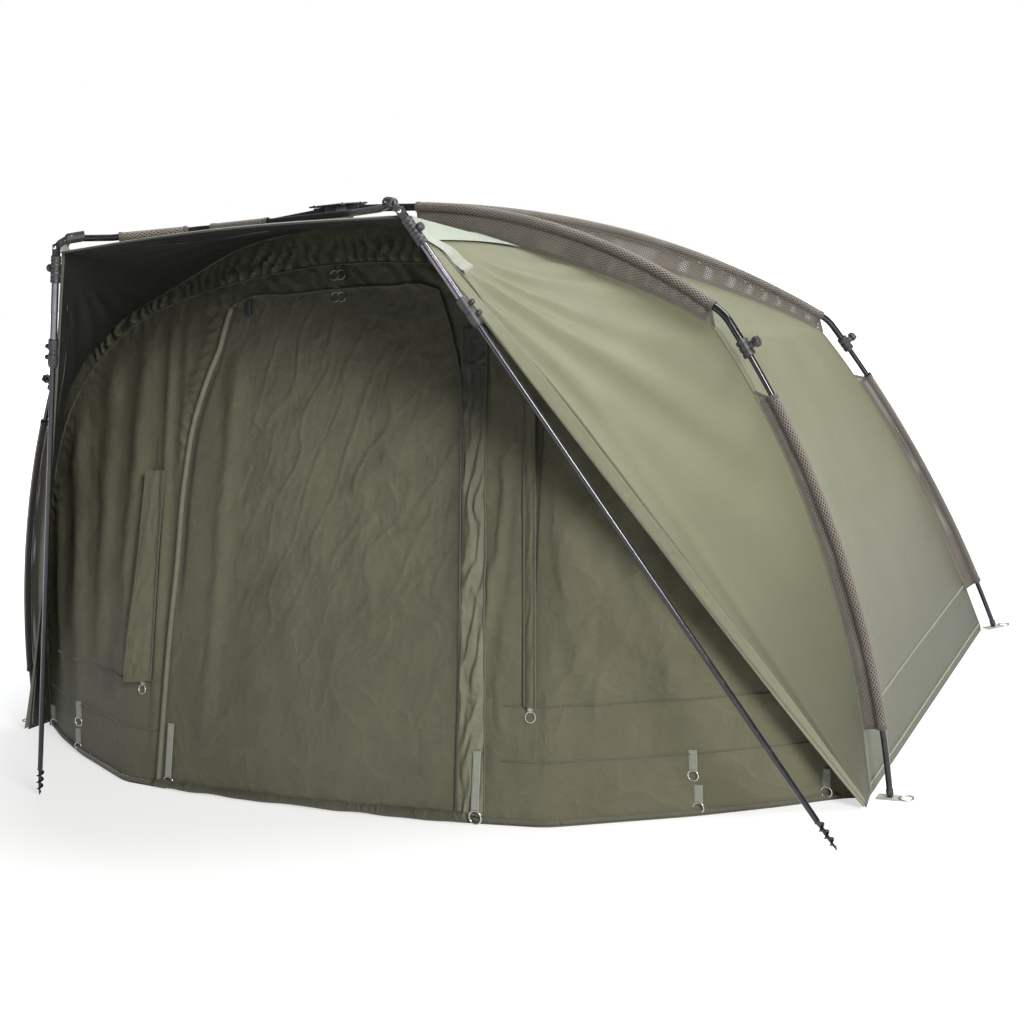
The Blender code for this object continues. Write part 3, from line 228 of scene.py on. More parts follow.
def solid(name, rings, finishes, body, edge=32, uv=None):
    """A row of rings joined into a closed skin, with a fan of triangles over each end."""
    rings = np.asarray(rings, float)
    count, sides = rings.shape[:2]
    points = np.concatenate([rings.reshape(-1, 3), [rings[0].mean(0), rings[-1].mean(0)]])
    quads = grid_faces(count, sides, wrap=True)
    turn = np.arange(sides)
    after = (turn + 1) % sides
    first = np.stack([np.full(sides, count * sides), after, turn], -1)
    last = (count - 1) * sides
    end = np.stack([np.full(sides, count * sides + 1), last + turn, last + after], -1)
    triangles = np.concatenate([quads[:, [0, 1, 2]], quads[:, [0, 2, 3]], first, end])
    if signed_volume(points, triangles) < 0:
        quads, first, end = quads[:, ::-1], first[:, ::-1], end[:, ::-1]
    faces = quads.tolist() + first.tolist() + end.tolist()
    if uv is not None:
        uv = np.concatenate([np.asarray(uv).reshape(-1, 2), [uv[0].mean(0), uv[-1].mean(0)]])
    return piece(name, points, faces, finishes, body, edge=edge, uv=uv)


def hoop(name, rings, finishes, body):
    """Rings joined one to the next and the last to the first, such as a ring of wire."""
    rings = np.asarray(rings, float)
    count, sides = rings.shape[:2]
    faces = grid_faces(count + 1, sides, wrap=True) % (count * sides)
    points = rings.reshape(-1, 3)
    if signed_volume(points, np.concatenate([faces[:, [0, 1, 2]], faces[:, [0, 2, 3]]])) < 0:
        faces = faces[:, ::-1]
    return piece(name, points, faces.tolist(), finishes, body)


def path_axes(path, hint):
    """Unit tangent of a path, the part of the hint square to it, and their cross product."""
    tangent = unit(np.gradient(np.asarray(path, float), axis=0))
    hint = np.broadcast_to(np.asarray(hint, float), tangent.shape)
    first = unit(hint - tangent * (tangent * hint).sum(-1, keepdims=True))
    return tangent, first, np.cross(tangent, first)


def gone(path):
    """Distance gone along a path, at each of its points."""
    return np.concatenate([[0], np.cumsum(np.linalg.norm(np.diff(path, axis=0), axis=1))])


def section(path, firsts, seconds, outline):
    """Carries a flat outline of (first, second) pairs along a path."""
    outline = np.asarray(outline, float)
    if outline.ndim == 2:
        outline = np.broadcast_to(outline, (len(path), *outline.shape))
    return (
        np.asarray(path)[:, None] + outline[..., :1] * np.asarray(firsts)[:, None]
        + outline[..., 1:] * np.asarray(seconds)[:, None]
    )


def round_outline(radius, sides):
    """Points evenly spaced on a circle."""
    turn = np.arange(sides) * 2 * math.pi / sides
    return np.stack([np.cos(turn), np.sin(turn)], -1) * radius


def flat_outline(wide, thick, sides=20):
    """Rounded oblong: signed powers of a cosine and a sine pull a circle towards its box."""
    turn = (np.arange(sides) + 0.5) * 2 * math.pi / sides
    c, s = np.cos(turn), np.sin(turn)
    first = np.sign(c) * np.abs(c) ** 0.25 * wide / 2
    return np.stack([first, np.sign(s) * np.abs(s) ** 0.4 * thick / 2], -1)


def cord_line(name, path, radius, finishes, body, hint=UP, sides=8):
    """Round piping: a circle carried along a path, its last turns drawn in at both ends."""
    _, first, second = path_axes(path, hint)
    size = np.ones(len(path))
    size[[0, -1]] = 0.5
    outline = round_outline(radius, sides)[None] * size[:, None, None]
    return solid(name, section(path, first, second, outline), finishes, body, edge=None)


def band(name, path, across, wide, thick, finishes, body):
    """Flat webbing or tape: a rounded oblong carried along a path, its width along across."""
    path = np.asarray(path, float)
    tangent = unit(np.gradient(path, axis=0))
    across = np.broadcast_to(np.asarray(across, float), path.shape)
    across = unit(across - tangent * (tangent * across).sum(-1, keepdims=True))
    up = np.cross(across, tangent)
    outline = flat_outline(wide, thick)
    along = gone(path)
    uv = np.stack(np.broadcast_arrays(outline[None, :, 0], along[:, None]), -1)
    return solid(name, section(path, across, up, outline), finishes, body, edge=40, uv=uv)


def turned(name, profile, start, axis, hint, finishes, body, sides=28, edge=30):
    """A profile of (along, radius) pairs turned about an axis, closed at both ends."""
    axis = unit(axis)
    first = unit(np.asarray(hint, float) - axis * (axis @ np.asarray(hint, float)))
    second = np.cross(axis, first)
    profile = np.asarray(profile, float)
    path = np.asarray(start, float) + profile[:, :1] * axis
    spin = round_outline(1.0, sides)[None] * profile[:, 1][:, None, None]
    ones = np.ones((len(profile), 1))
    return solid(name, section(path, ones * first, ones * second, spin), finishes, body, edge=edge)


def ring_of_wire(name, centre, axis_a, axis_b, radius, wire, finishes, body, steps=40, sides=12):
    """Torus: a small circle carried round a large one in the plane of two axes."""
    turn = np.arange(steps) * 2 * math.pi / steps
    out = np.cos(turn)[:, None] * unit(axis_a) + np.sin(turn)[:, None] * unit(axis_b)
    normal = np.broadcast_to(np.cross(unit(axis_a), unit(axis_b)), out.shape)
    path = np.asarray(centre, float) + out * radius
    return hoop(name, section(path, out, normal, round_outline(wire, sides)), finishes, body)


def low_shade(grid):
    """How much the outer cloth darkens towards the ground."""
    return 0.85 * (1 - ease(grid[..., 2], 0.0, 0.80))


def cloth_piece(name, grid, finishes, body, uv, out=None, cells=None, marks=None, thick=CLOTH_SEEN):
    """A sheet with both faces and its rim: the inner face is the outer one moved back along its
    normals. cells says which quads exist; the second finish goes on the inner face."""
    rows, columns = grid.shape[:2]
    normals = sheet_normals(grid)
    out = -inward(grid) if out is None else out
    flip = (normals * out).sum(-1).mean() < 0
    normals = -normals if flip else normals
    quads = grid_faces(rows, columns)
    if cells is not None:
        quads = quads[np.asarray(cells).ravel()]
    quads = quads[:, ::-1] if flip else quads
    half = rows * columns
    edges = np.concatenate([quads[:, [k, (k + 1) % 4]] for k in range(4)])
    key = edges[:, 0] * half + edges[:, 1]
    back = edges[:, 1] * half + edges[:, 0]
    rim = edges[~np.isin(key, back)]
    rim = np.stack([rim[:, 1], rim[:, 0], rim[:, 0] + half, rim[:, 1] + half], -1)
    faces = np.concatenate([quads, quads[:, ::-1] + half, rim])
    kinds = np.repeat([0, len(named(finishes)) - 1, 0], [len(quads), len(quads), len(rim)])
    points = np.concatenate([grid.reshape(-1, 3), (grid - normals * thick).reshape(-1, 3)])
    uv = np.concatenate([uv.reshape(-1, 2)] * 2)
    marks = {k: np.concatenate([np.ravel(v)] * 2) for k, v in (marks or {}).items()}
    used, faces = np.unique(faces, return_inverse=True)
    faces = faces.reshape(-1, 4)
    marks = {k: v[used] for k, v in marks.items()}
    made = piece(name, points[used], faces.tolist(), finishes, body, uv[used], kinds,
                 CLOTH_RIM_ANGLE, marks)
    a, b, c, d = (grid.reshape(-1, 3)[quads[:, k]] for k in range(4))
    area = np.linalg.norm(np.cross(c - a, d - b), axis=1).sum() / 2
    wide = np.linalg.norm(np.diff(grid, axis=1), axis=-1).sum(1).max()
    tall = np.linalg.norm(np.diff(grid, axis=0), axis=-1).sum(0).max()
    made["cut"] = [float(wide), float(tall), float(min(area, wide * tall))]
    return made


def as_sheet(made):
    """Takes the size a cloth piece was cut to off it again."""
    del made["cut"]


def metres_uv(grid):
    """UV in metres: the mean distance gone across the sheet, and along it, from its first corner."""
    across = np.linalg.norm(np.diff(grid, axis=1), axis=-1).mean(0)
    along = np.linalg.norm(np.diff(grid, axis=0), axis=-1).mean(1)
    u, v = np.concatenate([[0], np.cumsum(across)]), np.concatenate([[0], np.cumsum(along)])
    return np.stack(np.broadcast_arrays(u[None, :], v[:, None]), -1)


# ---------------------------------------------------------------------------
# Finishes
# ---------------------------------------------------------------------------
def node(tree, kind, values=(), links=(), **settings):
    """Adds a node, with its settings, its socket values and its incoming links."""
    made = tree.nodes.new(kind)
    for key, value in settings.items():
        setattr(made, key, value)
    for key, value in dict(values).items():
        made.inputs[key].default_value = value
    for key, source in dict(links).items():
        tree.links.new(source, made.inputs[key])
    return made


def sums(tree, operation, a, b=None, clamp=False):
    """A Math node; a and b are numbers or sockets."""
    made = tree.nodes.new("ShaderNodeMath")
    made.operation, made.use_clamp = operation, clamp
    for k, value in enumerate((a, b)):
        if isinstance(value, (int, float)):
            made.inputs[k].default_value = value
        elif value is not None:
            tree.links.new(value, made.inputs[k])
    return made.outputs[0]


def group(name, inputs, outputs):
    """An empty shader node group with named sockets."""
    tree = bpy.data.node_groups.new(name, "ShaderNodeTree")
    for label, kind, value in inputs:
        socket = tree.interface.new_socket(name=label, in_out="INPUT", socket_type=kind)
        if value is not None:
            socket.default_value = value
    for label, kind in outputs:
        tree.interface.new_socket(name=label, in_out="OUTPUT", socket_type=kind)
    return tree, tree.nodes.new("NodeGroupInput"), tree.nodes.new("NodeGroupOutput")


def crinkle_group():
    """Cloth relief: ridged noise for creases at two sizes, and crossed waves for the threads."""
    tree, enter, leave = group(
        "cloth_crinkle",
        [("Place", "NodeSocketVector", None), ("Crease size", "NodeSocketFloat", 6.0),
         ("Crease depth", "NodeSocketFloat", 0.6), ("Thread depth", "NodeSocketFloat", 0.1)],
        [("Height", "NodeSocketFloat"), ("Tone", "NodeSocketFloat")],
    )
    place, size = enter.outputs["Place"], enter.outputs["Crease size"]
    big = node(tree, "ShaderNodeTexNoise", {"Detail": 3.0, "Roughness": 0.45, "Distortion": 0.9},
               {"Vector": place, "Scale": size})
    ridge = sums(tree, "ABSOLUTE", sums(tree, "SUBTRACT", big.outputs[0], 0.5))
    ridge = sums(tree, "POWER", sums(tree, "SUBTRACT", 1.0, sums(tree, "MULTIPLY", ridge, 4.0), True), 2.0)
    fine = node(tree, "ShaderNodeTexNoise", {"Detail": 4.0, "Roughness": 0.55, "Distortion": 0.5},
                {"Vector": place, "Scale": sums(tree, "MULTIPLY", size, 4.3)})
    small = sums(tree, "ABSOLUTE", sums(tree, "SUBTRACT", fine.outputs[0], 0.5))
    creases = sums(tree, "ADD", sums(tree, "MULTIPLY", ridge, 0.7), sums(tree, "MULTIPLY", small, 1.1))
    warp = node(tree, "ShaderNodeTexWave", {"Scale": 240.0, "Distortion": 0.0}, {"Vector": place},
                wave_type="BANDS", bands_direction="X")
    weft = node(tree, "ShaderNodeTexWave", {"Scale": 240.0, "Distortion": 0.0}, {"Vector": place},
                wave_type="BANDS", bands_direction="Y")
    threads = sums(tree, "MULTIPLY", warp.outputs[1], weft.outputs[1])
    height = sums(
        tree, "ADD", sums(tree, "MULTIPLY", creases, enter.outputs["Crease depth"]),
        sums(tree, "MULTIPLY", threads, enter.outputs["Thread depth"]),
    )
    broad = node(tree, "ShaderNodeTexNoise", {"Scale": 2.3, "Detail": 5.0, "Roughness": 0.6},
                 {"Vector": place})
    tree.links.new(height, leave.inputs["Height"])
    tree.links.new(broad.outputs[0], leave.inputs["Tone"])
    return tree


def netting_group():
    """Diamond netting: strands run where either slanting coordinate is near a whole number."""
    tree, enter, leave = group(
        "netting",
        [("Place", "NodeSocketVector", None), ("Pitch", "NodeSocketFloat", 0.0046),
         ("Strand", "NodeSocketFloat", 0.27)],
        [("Cover", "NodeSocketFloat"), ("Height", "NodeSocketFloat")],
    )
    parts = node(tree, "ShaderNodeSeparateXYZ", (), {0: enter.outputs["Place"]})
    heights = []
    for way in ("ADD", "SUBTRACT"):
        slant = sums(tree, way, parts.outputs[0], sums(tree, "MULTIPLY", parts.outputs[1], 0.62))
        share = sums(tree, "FRACT", sums(tree, "DIVIDE", slant, enter.outputs["Pitch"]))
        heights.append(sums(tree, "ABSOLUTE", sums(tree, "SUBTRACT", share, 0.5)))
    highest = sums(tree, "MAXIMUM", *heights)
    edge = sums(tree, "SUBTRACT", 0.5, enter.outputs["Strand"])
    cover = sums(tree, "MULTIPLY", sums(tree, "SUBTRACT", highest, edge), 14.0, True)
    tree.links.new(cover, leave.inputs["Cover"])
    tree.links.new(highest, leave.inputs["Height"])
    return tree


def handling_group():
    """Marks of use: fine lines where stretched noise is near its middle, and soft cloudy rubbing."""
    tree, enter, leave = group(
        "handling_marks",
        [("Place", "NodeSocketVector", None), ("Size", "NodeSocketFloat", 40.0)],
        [("Scratch", "NodeSocketFloat"), ("Rub", "NodeSocketFloat")],
    )
    place = enter.outputs["Place"]
    lines = node(tree, "ShaderNodeTexNoise", {"Detail": 2.0, "Distortion": 1.5},
                 {"Vector": place, "Scale": sums(tree, "MULTIPLY", enter.outputs["Size"], 2.2)})
    near = sums(tree, "ABSOLUTE", sums(tree, "SUBTRACT", lines.outputs[0], 0.5))
    scratch = sums(tree, "SUBTRACT", 1.0, sums(tree, "MULTIPLY", near, 60.0), True)
    cloud = node(tree, "ShaderNodeTexNoise", {"Detail": 6.0, "Roughness": 0.7},
                 {"Vector": place, "Scale": enter.outputs["Size"]})
    tree.links.new(scratch, leave.inputs["Scratch"])
    tree.links.new(cloud.outputs[0], leave.inputs["Rub"])
    return tree


def start_finish(name, roughness, metallic=0.0, **shader_values):
    """A new material, its node tree, its shader and its texture coordinates."""
    made = bpy.data.materials.new(name)
    made.use_nodes = True
    tree = made.node_tree
    shader = tree.nodes["Principled BSDF"]
    shader.inputs["Roughness"].default_value = roughness
    shader.inputs["Metallic"].default_value = metallic
    for key, value in shader_values.items():
        shader.inputs[key.replace("_", " ")].default_value = value
    place = tree.nodes.new("ShaderNodeTexCoord")
    return made, tree, shader, place


def placed_group(tree, name, place, **values):
    """One of the shared effects, laid out on a place, with its own sizes and depths."""
    made = tree.nodes.new("ShaderNodeGroup")
    made.node_tree = GROUPS[name]
    tree.links.new(place, made.inputs["Place"])
    for key, value in values.items():
        made.inputs[key.replace("_", " ")].default_value = value
    return made


def toned(tree, share, low, high, start=0.3, end=0.7):
    """Colour that goes from low to high as share goes from start to end."""
    ramp = tree.nodes.new("ShaderNodeValToRGB")
    ramp.color_ramp.elements[0].position, ramp.color_ramp.elements[1].position = start, end
    ramp.color_ramp.elements[0].color = (*low, 1.0)
    ramp.color_ramp.elements[1].color = (*high, 1.0)
    tree.links.new(share, ramp.inputs[0])
    return ramp.outputs[0]


def bump(tree, shader, height, strength, distance):
    """Tilts the shading by a height."""
    made = node(tree, "ShaderNodeBump", {"Strength": strength, "Distance": distance}, {"Height": height})
    tree.links.new(made.outputs[0], shader.inputs["Normal"])


def spread(tree, value, middle, swing):
    """A roughness that moves about its middle with an uneven value."""
    return sums(tree, "ADD", sums(tree, "MULTIPLY", sums(tree, "SUBTRACT", value, 0.5), swing), middle)


def tent_cloth(name, low, high, roughness, size, depth, thread=0.12, sheen=0.06, mark=None, dark=None,
               bump_depth=0.004):
    """Coated woven cloth: creased, with slow changes of tone and painted shade in its creases; a mark on the
    mesh paints shade over it in the dark colour.
    """
    made, tree, shader, place = start_finish(name, roughness, Sheen_Weight=sheen, Sheen_Roughness=0.5)
    crinkle = placed_group(tree, "cloth_crinkle", place.outputs["Object"], Crease_size=size,
                           Crease_depth=depth, Thread_depth=0.0)
    weave = placed_group(tree, "cloth_crinkle", place.outputs["UV"], Crease_size=size * 1.7,
                         Crease_depth=depth * 0.35, Thread_depth=thread)
    # Crease height tones the colour: painted shade in the creases' hollows and lighter ridges, over slow
    # random changes of tone.
    tone = sums(tree, "ADD", sums(tree, "MULTIPLY", crinkle.outputs["Height"], 0.22), crinkle.outputs["Tone"])
    colour = toned(tree, tone, low, high, 0.35, 0.85)
    # The mark blends the colour towards dark: painted shade under the brow and in the gathers (deep), and
    # towards the ground (low).
    if mark:
        shade = node(tree, "ShaderNodeAttribute", attribute_name=mark)
        mix = node(tree, "ShaderNodeMix", {}, {0: shade.outputs["Fac"]}, data_type="RGBA")
        tree.links.new(colour, mix.inputs["A"])
        mix.inputs["B"].default_value = (*dark, 1.0)
        colour = mix.outputs["Result"]
    tree.links.new(colour, shader.inputs["Base Color"])
    tree.links.new(spread(tree, weave.outputs["Height"], roughness, 0.18), shader.inputs["Roughness"])
    height = sums(tree, "ADD", crinkle.outputs["Height"], weave.outputs["Height"])
    bump(tree, shader, height, 0.6, bump_depth)
    return made


def netting(name, low, high, pitch, strand):
    """Netting seen through between its strands, with painted highlight where they stand higher and painted
    shade where they sink.
    """
    made, tree, shader, place = start_finish(name, 0.8, Sheen_Weight=0.2)
    net = placed_group(tree, "netting", place.outputs["UV"], Pitch=pitch, Strand=strand)
    cloud = placed_group(tree, "handling_marks", place.outputs["Object"], Size=14.0)
    strand_highlight = sums(tree, "MULTIPLY", sums(tree, "SUBTRACT", net.outputs["Height"], 0.3), 3.2)
    tone = sums(tree, "ADD", sums(tree, "MULTIPLY", cloud.outputs["Rub"], 0.5), strand_highlight)
    tree.links.new(toned(tree, tone, low, high, 0.25, 0.9), shader.inputs["Base Color"])
    tree.links.new(net.outputs["Cover"], shader.inputs["Alpha"])
    bump(tree, shader, net.outputs["Height"], 0.8, 0.003)
    return made


def hard_finish(name, low, high, roughness, metallic, size, grain, coat=0.0, swing=0.25):
    """Tube, moulding or metal: cloudy tone, fine scratches in the gloss and a little grain."""
    made, tree, shader, place = start_finish(name, roughness, metallic, Coat_Weight=coat, Coat_Roughness=0.12)
    marks = placed_group(tree, "handling_marks", place.outputs["Object"], Size=size)
    tree.links.new(toned(tree, marks.outputs["Rub"], low, high), shader.inputs["Base Color"])
    rough = spread(tree, marks.outputs["Rub"], roughness, swing)
    rough = sums(tree, "ADD", rough, sums(tree, "MULTIPLY", marks.outputs["Scratch"], 0.12), True)
    tree.links.new(rough, shader.inputs["Roughness"])
    fine = node(tree, "ShaderNodeTexNoise", {"Scale": 900.0, "Detail": 2.0},
                {"Vector": place.outputs["Object"]})
    bump(tree, shader, fine.outputs[0], grain, 0.0004)
    return made


def webbing_finish(name, low, high):
    """Woven tape: ribs across it and stitches along both edges, on the band's own UV."""
    made, tree, shader, place = start_finish(name, 0.82, Sheen_Weight=0.3)
    ribs = node(tree, "ShaderNodeTexWave", {"Scale": 170.0, "Distortion": 0.4, "Detail": 1.0},
                {"Vector": place.outputs["UV"]}, wave_type="BANDS", bands_direction="Y")
    parts = node(tree, "ShaderNodeSeparateXYZ", (), {0: place.outputs["UV"]})
    cloud = placed_group(tree, "handling_marks", place.outputs["Object"], Size=60.0)
    # The ribs' height tones the colour too: painted shade between the ribs, over random rubbing.
    tone = sums(tree, "ADD", sums(tree, "MULTIPLY", ribs.outputs[1], 0.35), cloud.outputs["Rub"])
    stitch = sums(tree, "FRACT", sums(tree, "MULTIPLY", parts.outputs[1], 260.0))
    dash = sums(tree, "GREATER_THAN", stitch, 0.4)
    aside = sums(tree, "ABSOLUTE", sums(tree, "SUBTRACT", sums(tree, "ABSOLUTE", parts.outputs[0]), 0.0068))
    row = sums(tree, "MULTIPLY", sums(tree, "LESS_THAN", aside, 0.0007), dash)
    colour = toned(tree, sums(tree, "SUBTRACT", tone, sums(tree, "MULTIPLY", row, 0.5)), low, high, 0.3, 0.95)
    tree.links.new(colour, shader.inputs["Base Color"])
    bump(tree, shader, sums(tree, "ADD", ribs.outputs[1], row), 0.5, 0.0006)
    return made


def make_finishes():
    """Fills the tables of shared effects and of finishes."""
    GROUPS.update(cloth_crinkle=crinkle_group(), netting=netting_group(), handling_marks=handling_group())
    FINISHES.update({
        # The low mark paints shade towards the ground, in the dark colour.
        "side": tent_cloth("sage_side_cloth", (0.130, 0.133, 0.076), (0.176, 0.181, 0.108), 0.56, 3.2, 0.25,
                           mark="low", dark=(0.055, 0.058, 0.034), bump_depth=0.008),
        # The deep mark paints near-black shade under the brow, above and between the gathers, and in the
        # door's creases.
        "front": tent_cloth("olive_front_cloth", (0.105, 0.103, 0.060), (0.150, 0.147, 0.090), 0.62, 5.5,
                            0.75, mark="deep", dark=(0.012, 0.013, 0.010), bump_depth=0.012),
        # Inner faces: the same cloth, painted near-black as painted shade inside the tent and under the brow.
        "inside": tent_cloth("shaded_inner_cloth", (0.0055, 0.0062, 0.0050), (0.0095, 0.0108, 0.0085), 0.75, 4.0,
                             0.5, sheen=0.0),
        "clear": tent_cloth("pale_patch", (0.27, 0.30, 0.25), (0.34, 0.37, 0.31), 0.5, 4.0, 0.15, sheen=0.0),
        "net": netting("sleeve_netting", (0.062, 0.054, 0.045), (0.235, 0.208, 0.178), 0.0070, 0.36),
        "net_tape": webbing_finish("sleeve_tape", (0.062, 0.056, 0.046), (0.120, 0.108, 0.090)),
        "piping": webbing_finish("dark_piping", (0.030, 0.032, 0.024), (0.060, 0.062, 0.046)),
        # The door's rolled left edge is front cloth painted paler: a painted highlight on the lit roll.
        "edge_roll": webbing_finish("door_edge", (0.130, 0.130, 0.088), (0.200, 0.198, 0.140)),
        # Front cloth painted paler on the pleated strip as painted light, with painted shade from the deep
        # mark towards the brow.
        "pleats": tent_cloth("lit_pleats", (0.140, 0.139, 0.090), (0.215, 0.212, 0.146), 0.55, 9.0, 0.9,
                             mark="deep", dark=(0.012, 0.013, 0.010), bump_depth=0.010),
        "roll": tent_cloth("rolled_hem", (0.055, 0.054, 0.033), (0.095, 0.093, 0.060), 0.6, 12.0, 1.0,
                           bump_depth=0.010),
        "hem": webbing_finish("olive_hem", (0.075, 0.076, 0.053), (0.125, 0.124, 0.088)),
        "pale_hem": webbing_finish("sage_hem", (0.115, 0.118, 0.074), (0.165, 0.170, 0.110)),
        "webbing": webbing_finish("pale_webbing", (0.230, 0.245, 0.205), (0.340, 0.355, 0.305)),
        "tube": hard_finish("black_tube", (0.016, 0.016, 0.020), (0.030, 0.030, 0.037), 0.22, 0.75, 26.0,
                            0.05, coat=0.5),
        "pole_top": hard_finish("lilac_grey_tube", (0.105, 0.100, 0.120), (0.170, 0.162, 0.190), 0.24, 0.85,
                                26.0, 0.05, coat=0.4),
        "moulding": hard_finish("black_moulding", (0.020, 0.020, 0.022), (0.042, 0.042, 0.045), 0.42, 0.0,
                                60.0, 0.35),
        "ring_steel": hard_finish("ring_steel", (0.46, 0.46, 0.44), (0.62, 0.62, 0.59), 0.35, 0.35,
                                  90.0, 0.08),
        # A darker copy of the bright steel: painted shade on the header's rings under the brow.
        "dull_steel": hard_finish("dull_steel", (0.15, 0.15, 0.145), (0.24, 0.24, 0.23), 0.3, 1.0,
                                  90.0, 0.08),
        "steel": hard_finish("bright_steel", (0.48, 0.48, 0.47), (0.66, 0.66, 0.64), 0.2, 1.0, 90.0, 0.08),
    })


# ---------------------------------------------------------------------------
# Ribs and their seams
# ---------------------------------------------------------------------------
class Rib:
    """A bent rib in its upright plane: straight root, long arc, elbow and bowed leg."""

    def __init__(self, name, foot_x, foot_y, straight, arc_r, slopes):
        self.name, self.straight = name, straight
        self.foot_r = math.hypot(foot_x, foot_y)
        self.out = np.array([foot_x, foot_y, 0.0]) / self.foot_r
        self.across = np.array([-self.out[1], self.out[0], 0.0])
        start, end, leg = (math.radians(v) for v in slopes)
        r, z = PIN_CIRCLE + straight * math.cos(start), PIN_HEIGHT - straight * math.sin(start)
        corners = [(r, z)]
        for slope, radius, to in ((start, arc_r, end), (end, ELBOW_R, leg)):
            r += radius * (math.sin(to) - math.sin(slope))
            z -= radius * (math.cos(slope) - math.cos(to))
            corners.append((r, z))
        run, floor = self.foot_r - r, STRAP_THICK + FLOOR_GAP
        lift = floor
        for _ in range(12):
            chord = math.atan2(z - lift, run)
            lift = floor + LEG_R * FOOT_END_SHARE * math.cos(2 * chord - leg)
        leg_r = math.hypot(run, z - lift) / (2 * math.sin(chord - leg))
        self.arc_end = straight + arc_r * (end - start)
        self.leg_from = self.arc_end + ELBOW_R * (leg - end)
        self.foot_at = self.leg_from + leg_r * (2 * chord - 2 * leg)
        self.elbow_at = (self.arc_end + self.leg_from) / 2
        self.socket_at = self.leg_from + SOCKET
        self.starts = np.array([straight, self.arc_end, self.leg_from])
        self.radii = np.array([arc_r, ELBOW_R, leg_r])
        self.slopes = np.array([start, end, leg])
        self.corners = np.array(corners)

    def at(self, along):
        """Radius, height and slope: r + R (sin a - sin a0) and z - R (cos a0 - cos a) on each arc."""
        s = np.asarray(along, float)
        k = np.clip(np.searchsorted(self.starts, s, side="right") - 1, 0, 2)
        bow, from_slope = self.radii[k], self.slopes[k]
        slope = from_slope + (s - self.starts[k]) / bow
        r = self.corners[k, 0] + bow * (np.sin(slope) - np.sin(from_slope))
        z = self.corners[k, 1] - bow * (np.cos(from_slope) - np.cos(slope))
        root, start = s < self.straight, self.slopes[0]
        r = np.where(root, PIN_CIRCLE + s * math.cos(start), r)
        z = np.where(root, PIN_HEIGHT - s * math.sin(start), z)
        return r, z, np.where(root, start, slope)

    def place(self, r, z, across=0.0):
        """Point at a distance out from the hub, a height, and a distance aside from the plane."""
        r, z = np.broadcast_arrays(np.asarray(r, float), np.asarray(z, float))
        return r[..., None] * self.out + z[..., None] * np.array([0.0, 0.0, 1.0]) + self.across * across

    def axes(self, along):
        """Middle line, outward normal and across direction at lengths from the pin."""
        r, z, slope = self.at(along)
        sine, cosine = np.sin(slope)[..., None], np.cos(slope)[..., None]
        normal = self.out * sine + np.array([0.0, 0.0, 1.0]) * cosine
        return self.place(r, z), normal, np.broadcast_to(self.across, normal.shape)

    def web(self, along):
        """Depth of the sleeve's web below the tube, from its table of shares."""
        along = np.asarray(along, float)
        upper = 0.5 * np.maximum(along, 0.0) / self.elbow_at
        lower = 0.5 + 0.5 * (along - self.elbow_at) / (self.foot_at - self.elbow_at)
        share = np.where(along < self.elbow_at, upper, lower)
        return WEB_DEPTH * through(share, WEB_PLACE_SHARES, WEB_DEPTH_SHARES)

    def seam_at(self, along):
        """Radius and height of the web's free edge, square below the tube."""
        r, z, slope = self.at(along)
        depth = self.web(along)
        return np.stack([r - depth * np.sin(slope), z - depth * np.cos(slope)], -1)

    def rows(self):
        """Lengths along the rib of the cloth's rows, from the hub to the foot."""
        upper_end = self.arc_end - UPPER_SLEEVE_END_GAP
        start = self.socket_at + LOWER_SLEEVE_AFTER_SOCKET
        end = self.foot_at - LOWER_SLEEVE_FOOT_GAP
        upper = np.linspace(UPPER_SLEEVE_FROM, upper_end, UPPER_SLEEVE_STEPS + 1)
        lower = np.linspace(start, end, LOWER_SLEEVE_STEPS + 1)
        hub_end = HUB_SEAM_R - PIN_CIRCLE
        return np.array([hub_end, *upper, self.elbow_at, (self.elbow_at + start) / 2, *lower, self.foot_at])

    def seam(self, places):
        """Radius and height of the seam; places count the cloth's rows, and the last runs straight
        on to the ground."""
        rows = self.rows()
        last = len(rows) - 1
        line = self.seam_at(through(np.minimum(places, last - 1), np.arange(last), rows[:-1]))
        (r1, z1), (r2, z2) = self.seam_at(rows[-2:])
        ground = np.array([r2 + (r2 - r1) * z2 / (z1 - z2), 0.0])
        share = np.clip(places - (last - 1), 0, 1)[..., None]
        return line * (1 - share) + ground * share


RIBS = {
    "front_right": Rib("front_right", 1.32, 0.0, 0.15, 1.466, (4.0, 37.0, 60.0)),
    "front_left": Rib("front_left", -1.32, 0.0, 0.15, 1.466, (4.0, 37.0, 60.0)),
    "rear_right": Rib("rear_right", 1.24, 1.48, 0.02, 2.57, (2.0, 33.0, 54.0)),
    "rear_left": Rib("rear_left", -1.24, 1.48, 0.02, 2.57, (2.0, 33.0, 54.0)),
}
ROW_COUNT = 19


def inward(points):
    """Unit vectors towards a point on the floor in the middle of the tent."""
    return unit(np.array([0.0, CLOTH_AIM_Y, 0.0]) - points)


def seam_line(rib, places, aside=0.0):
    """The rib's seam in space, half a seam's gap aside."""
    line = rib.seam(places)
    return rib.place(line[:, 0], line[:, 1]) + rib.across * aside * SEAM_GAP / 2


def ruled(first, second, shares, rows, sag):
    """first (1 - t) + second t, drawn in towards the floor by sag sin(pi t) sin(pi row)."""
    share = np.asarray(shares)[None, :, None]
    grid = first[:, None] * (1 - share) + second[:, None] * share
    rows = np.asarray(rows)[:, None, None]
    return grid + inward(grid) * sag * np.sin(math.pi * share) * np.sin(math.pi * rows)


def raised(grid, height):
    """Moves a sheet out along its own normals by a height at each point."""
    normals = sheet_normals(grid)
    if (normals * inward(grid)).sum(-1).mean() > 0:
        normals = -normals
    return grid + normals * np.asarray(height)[..., None]


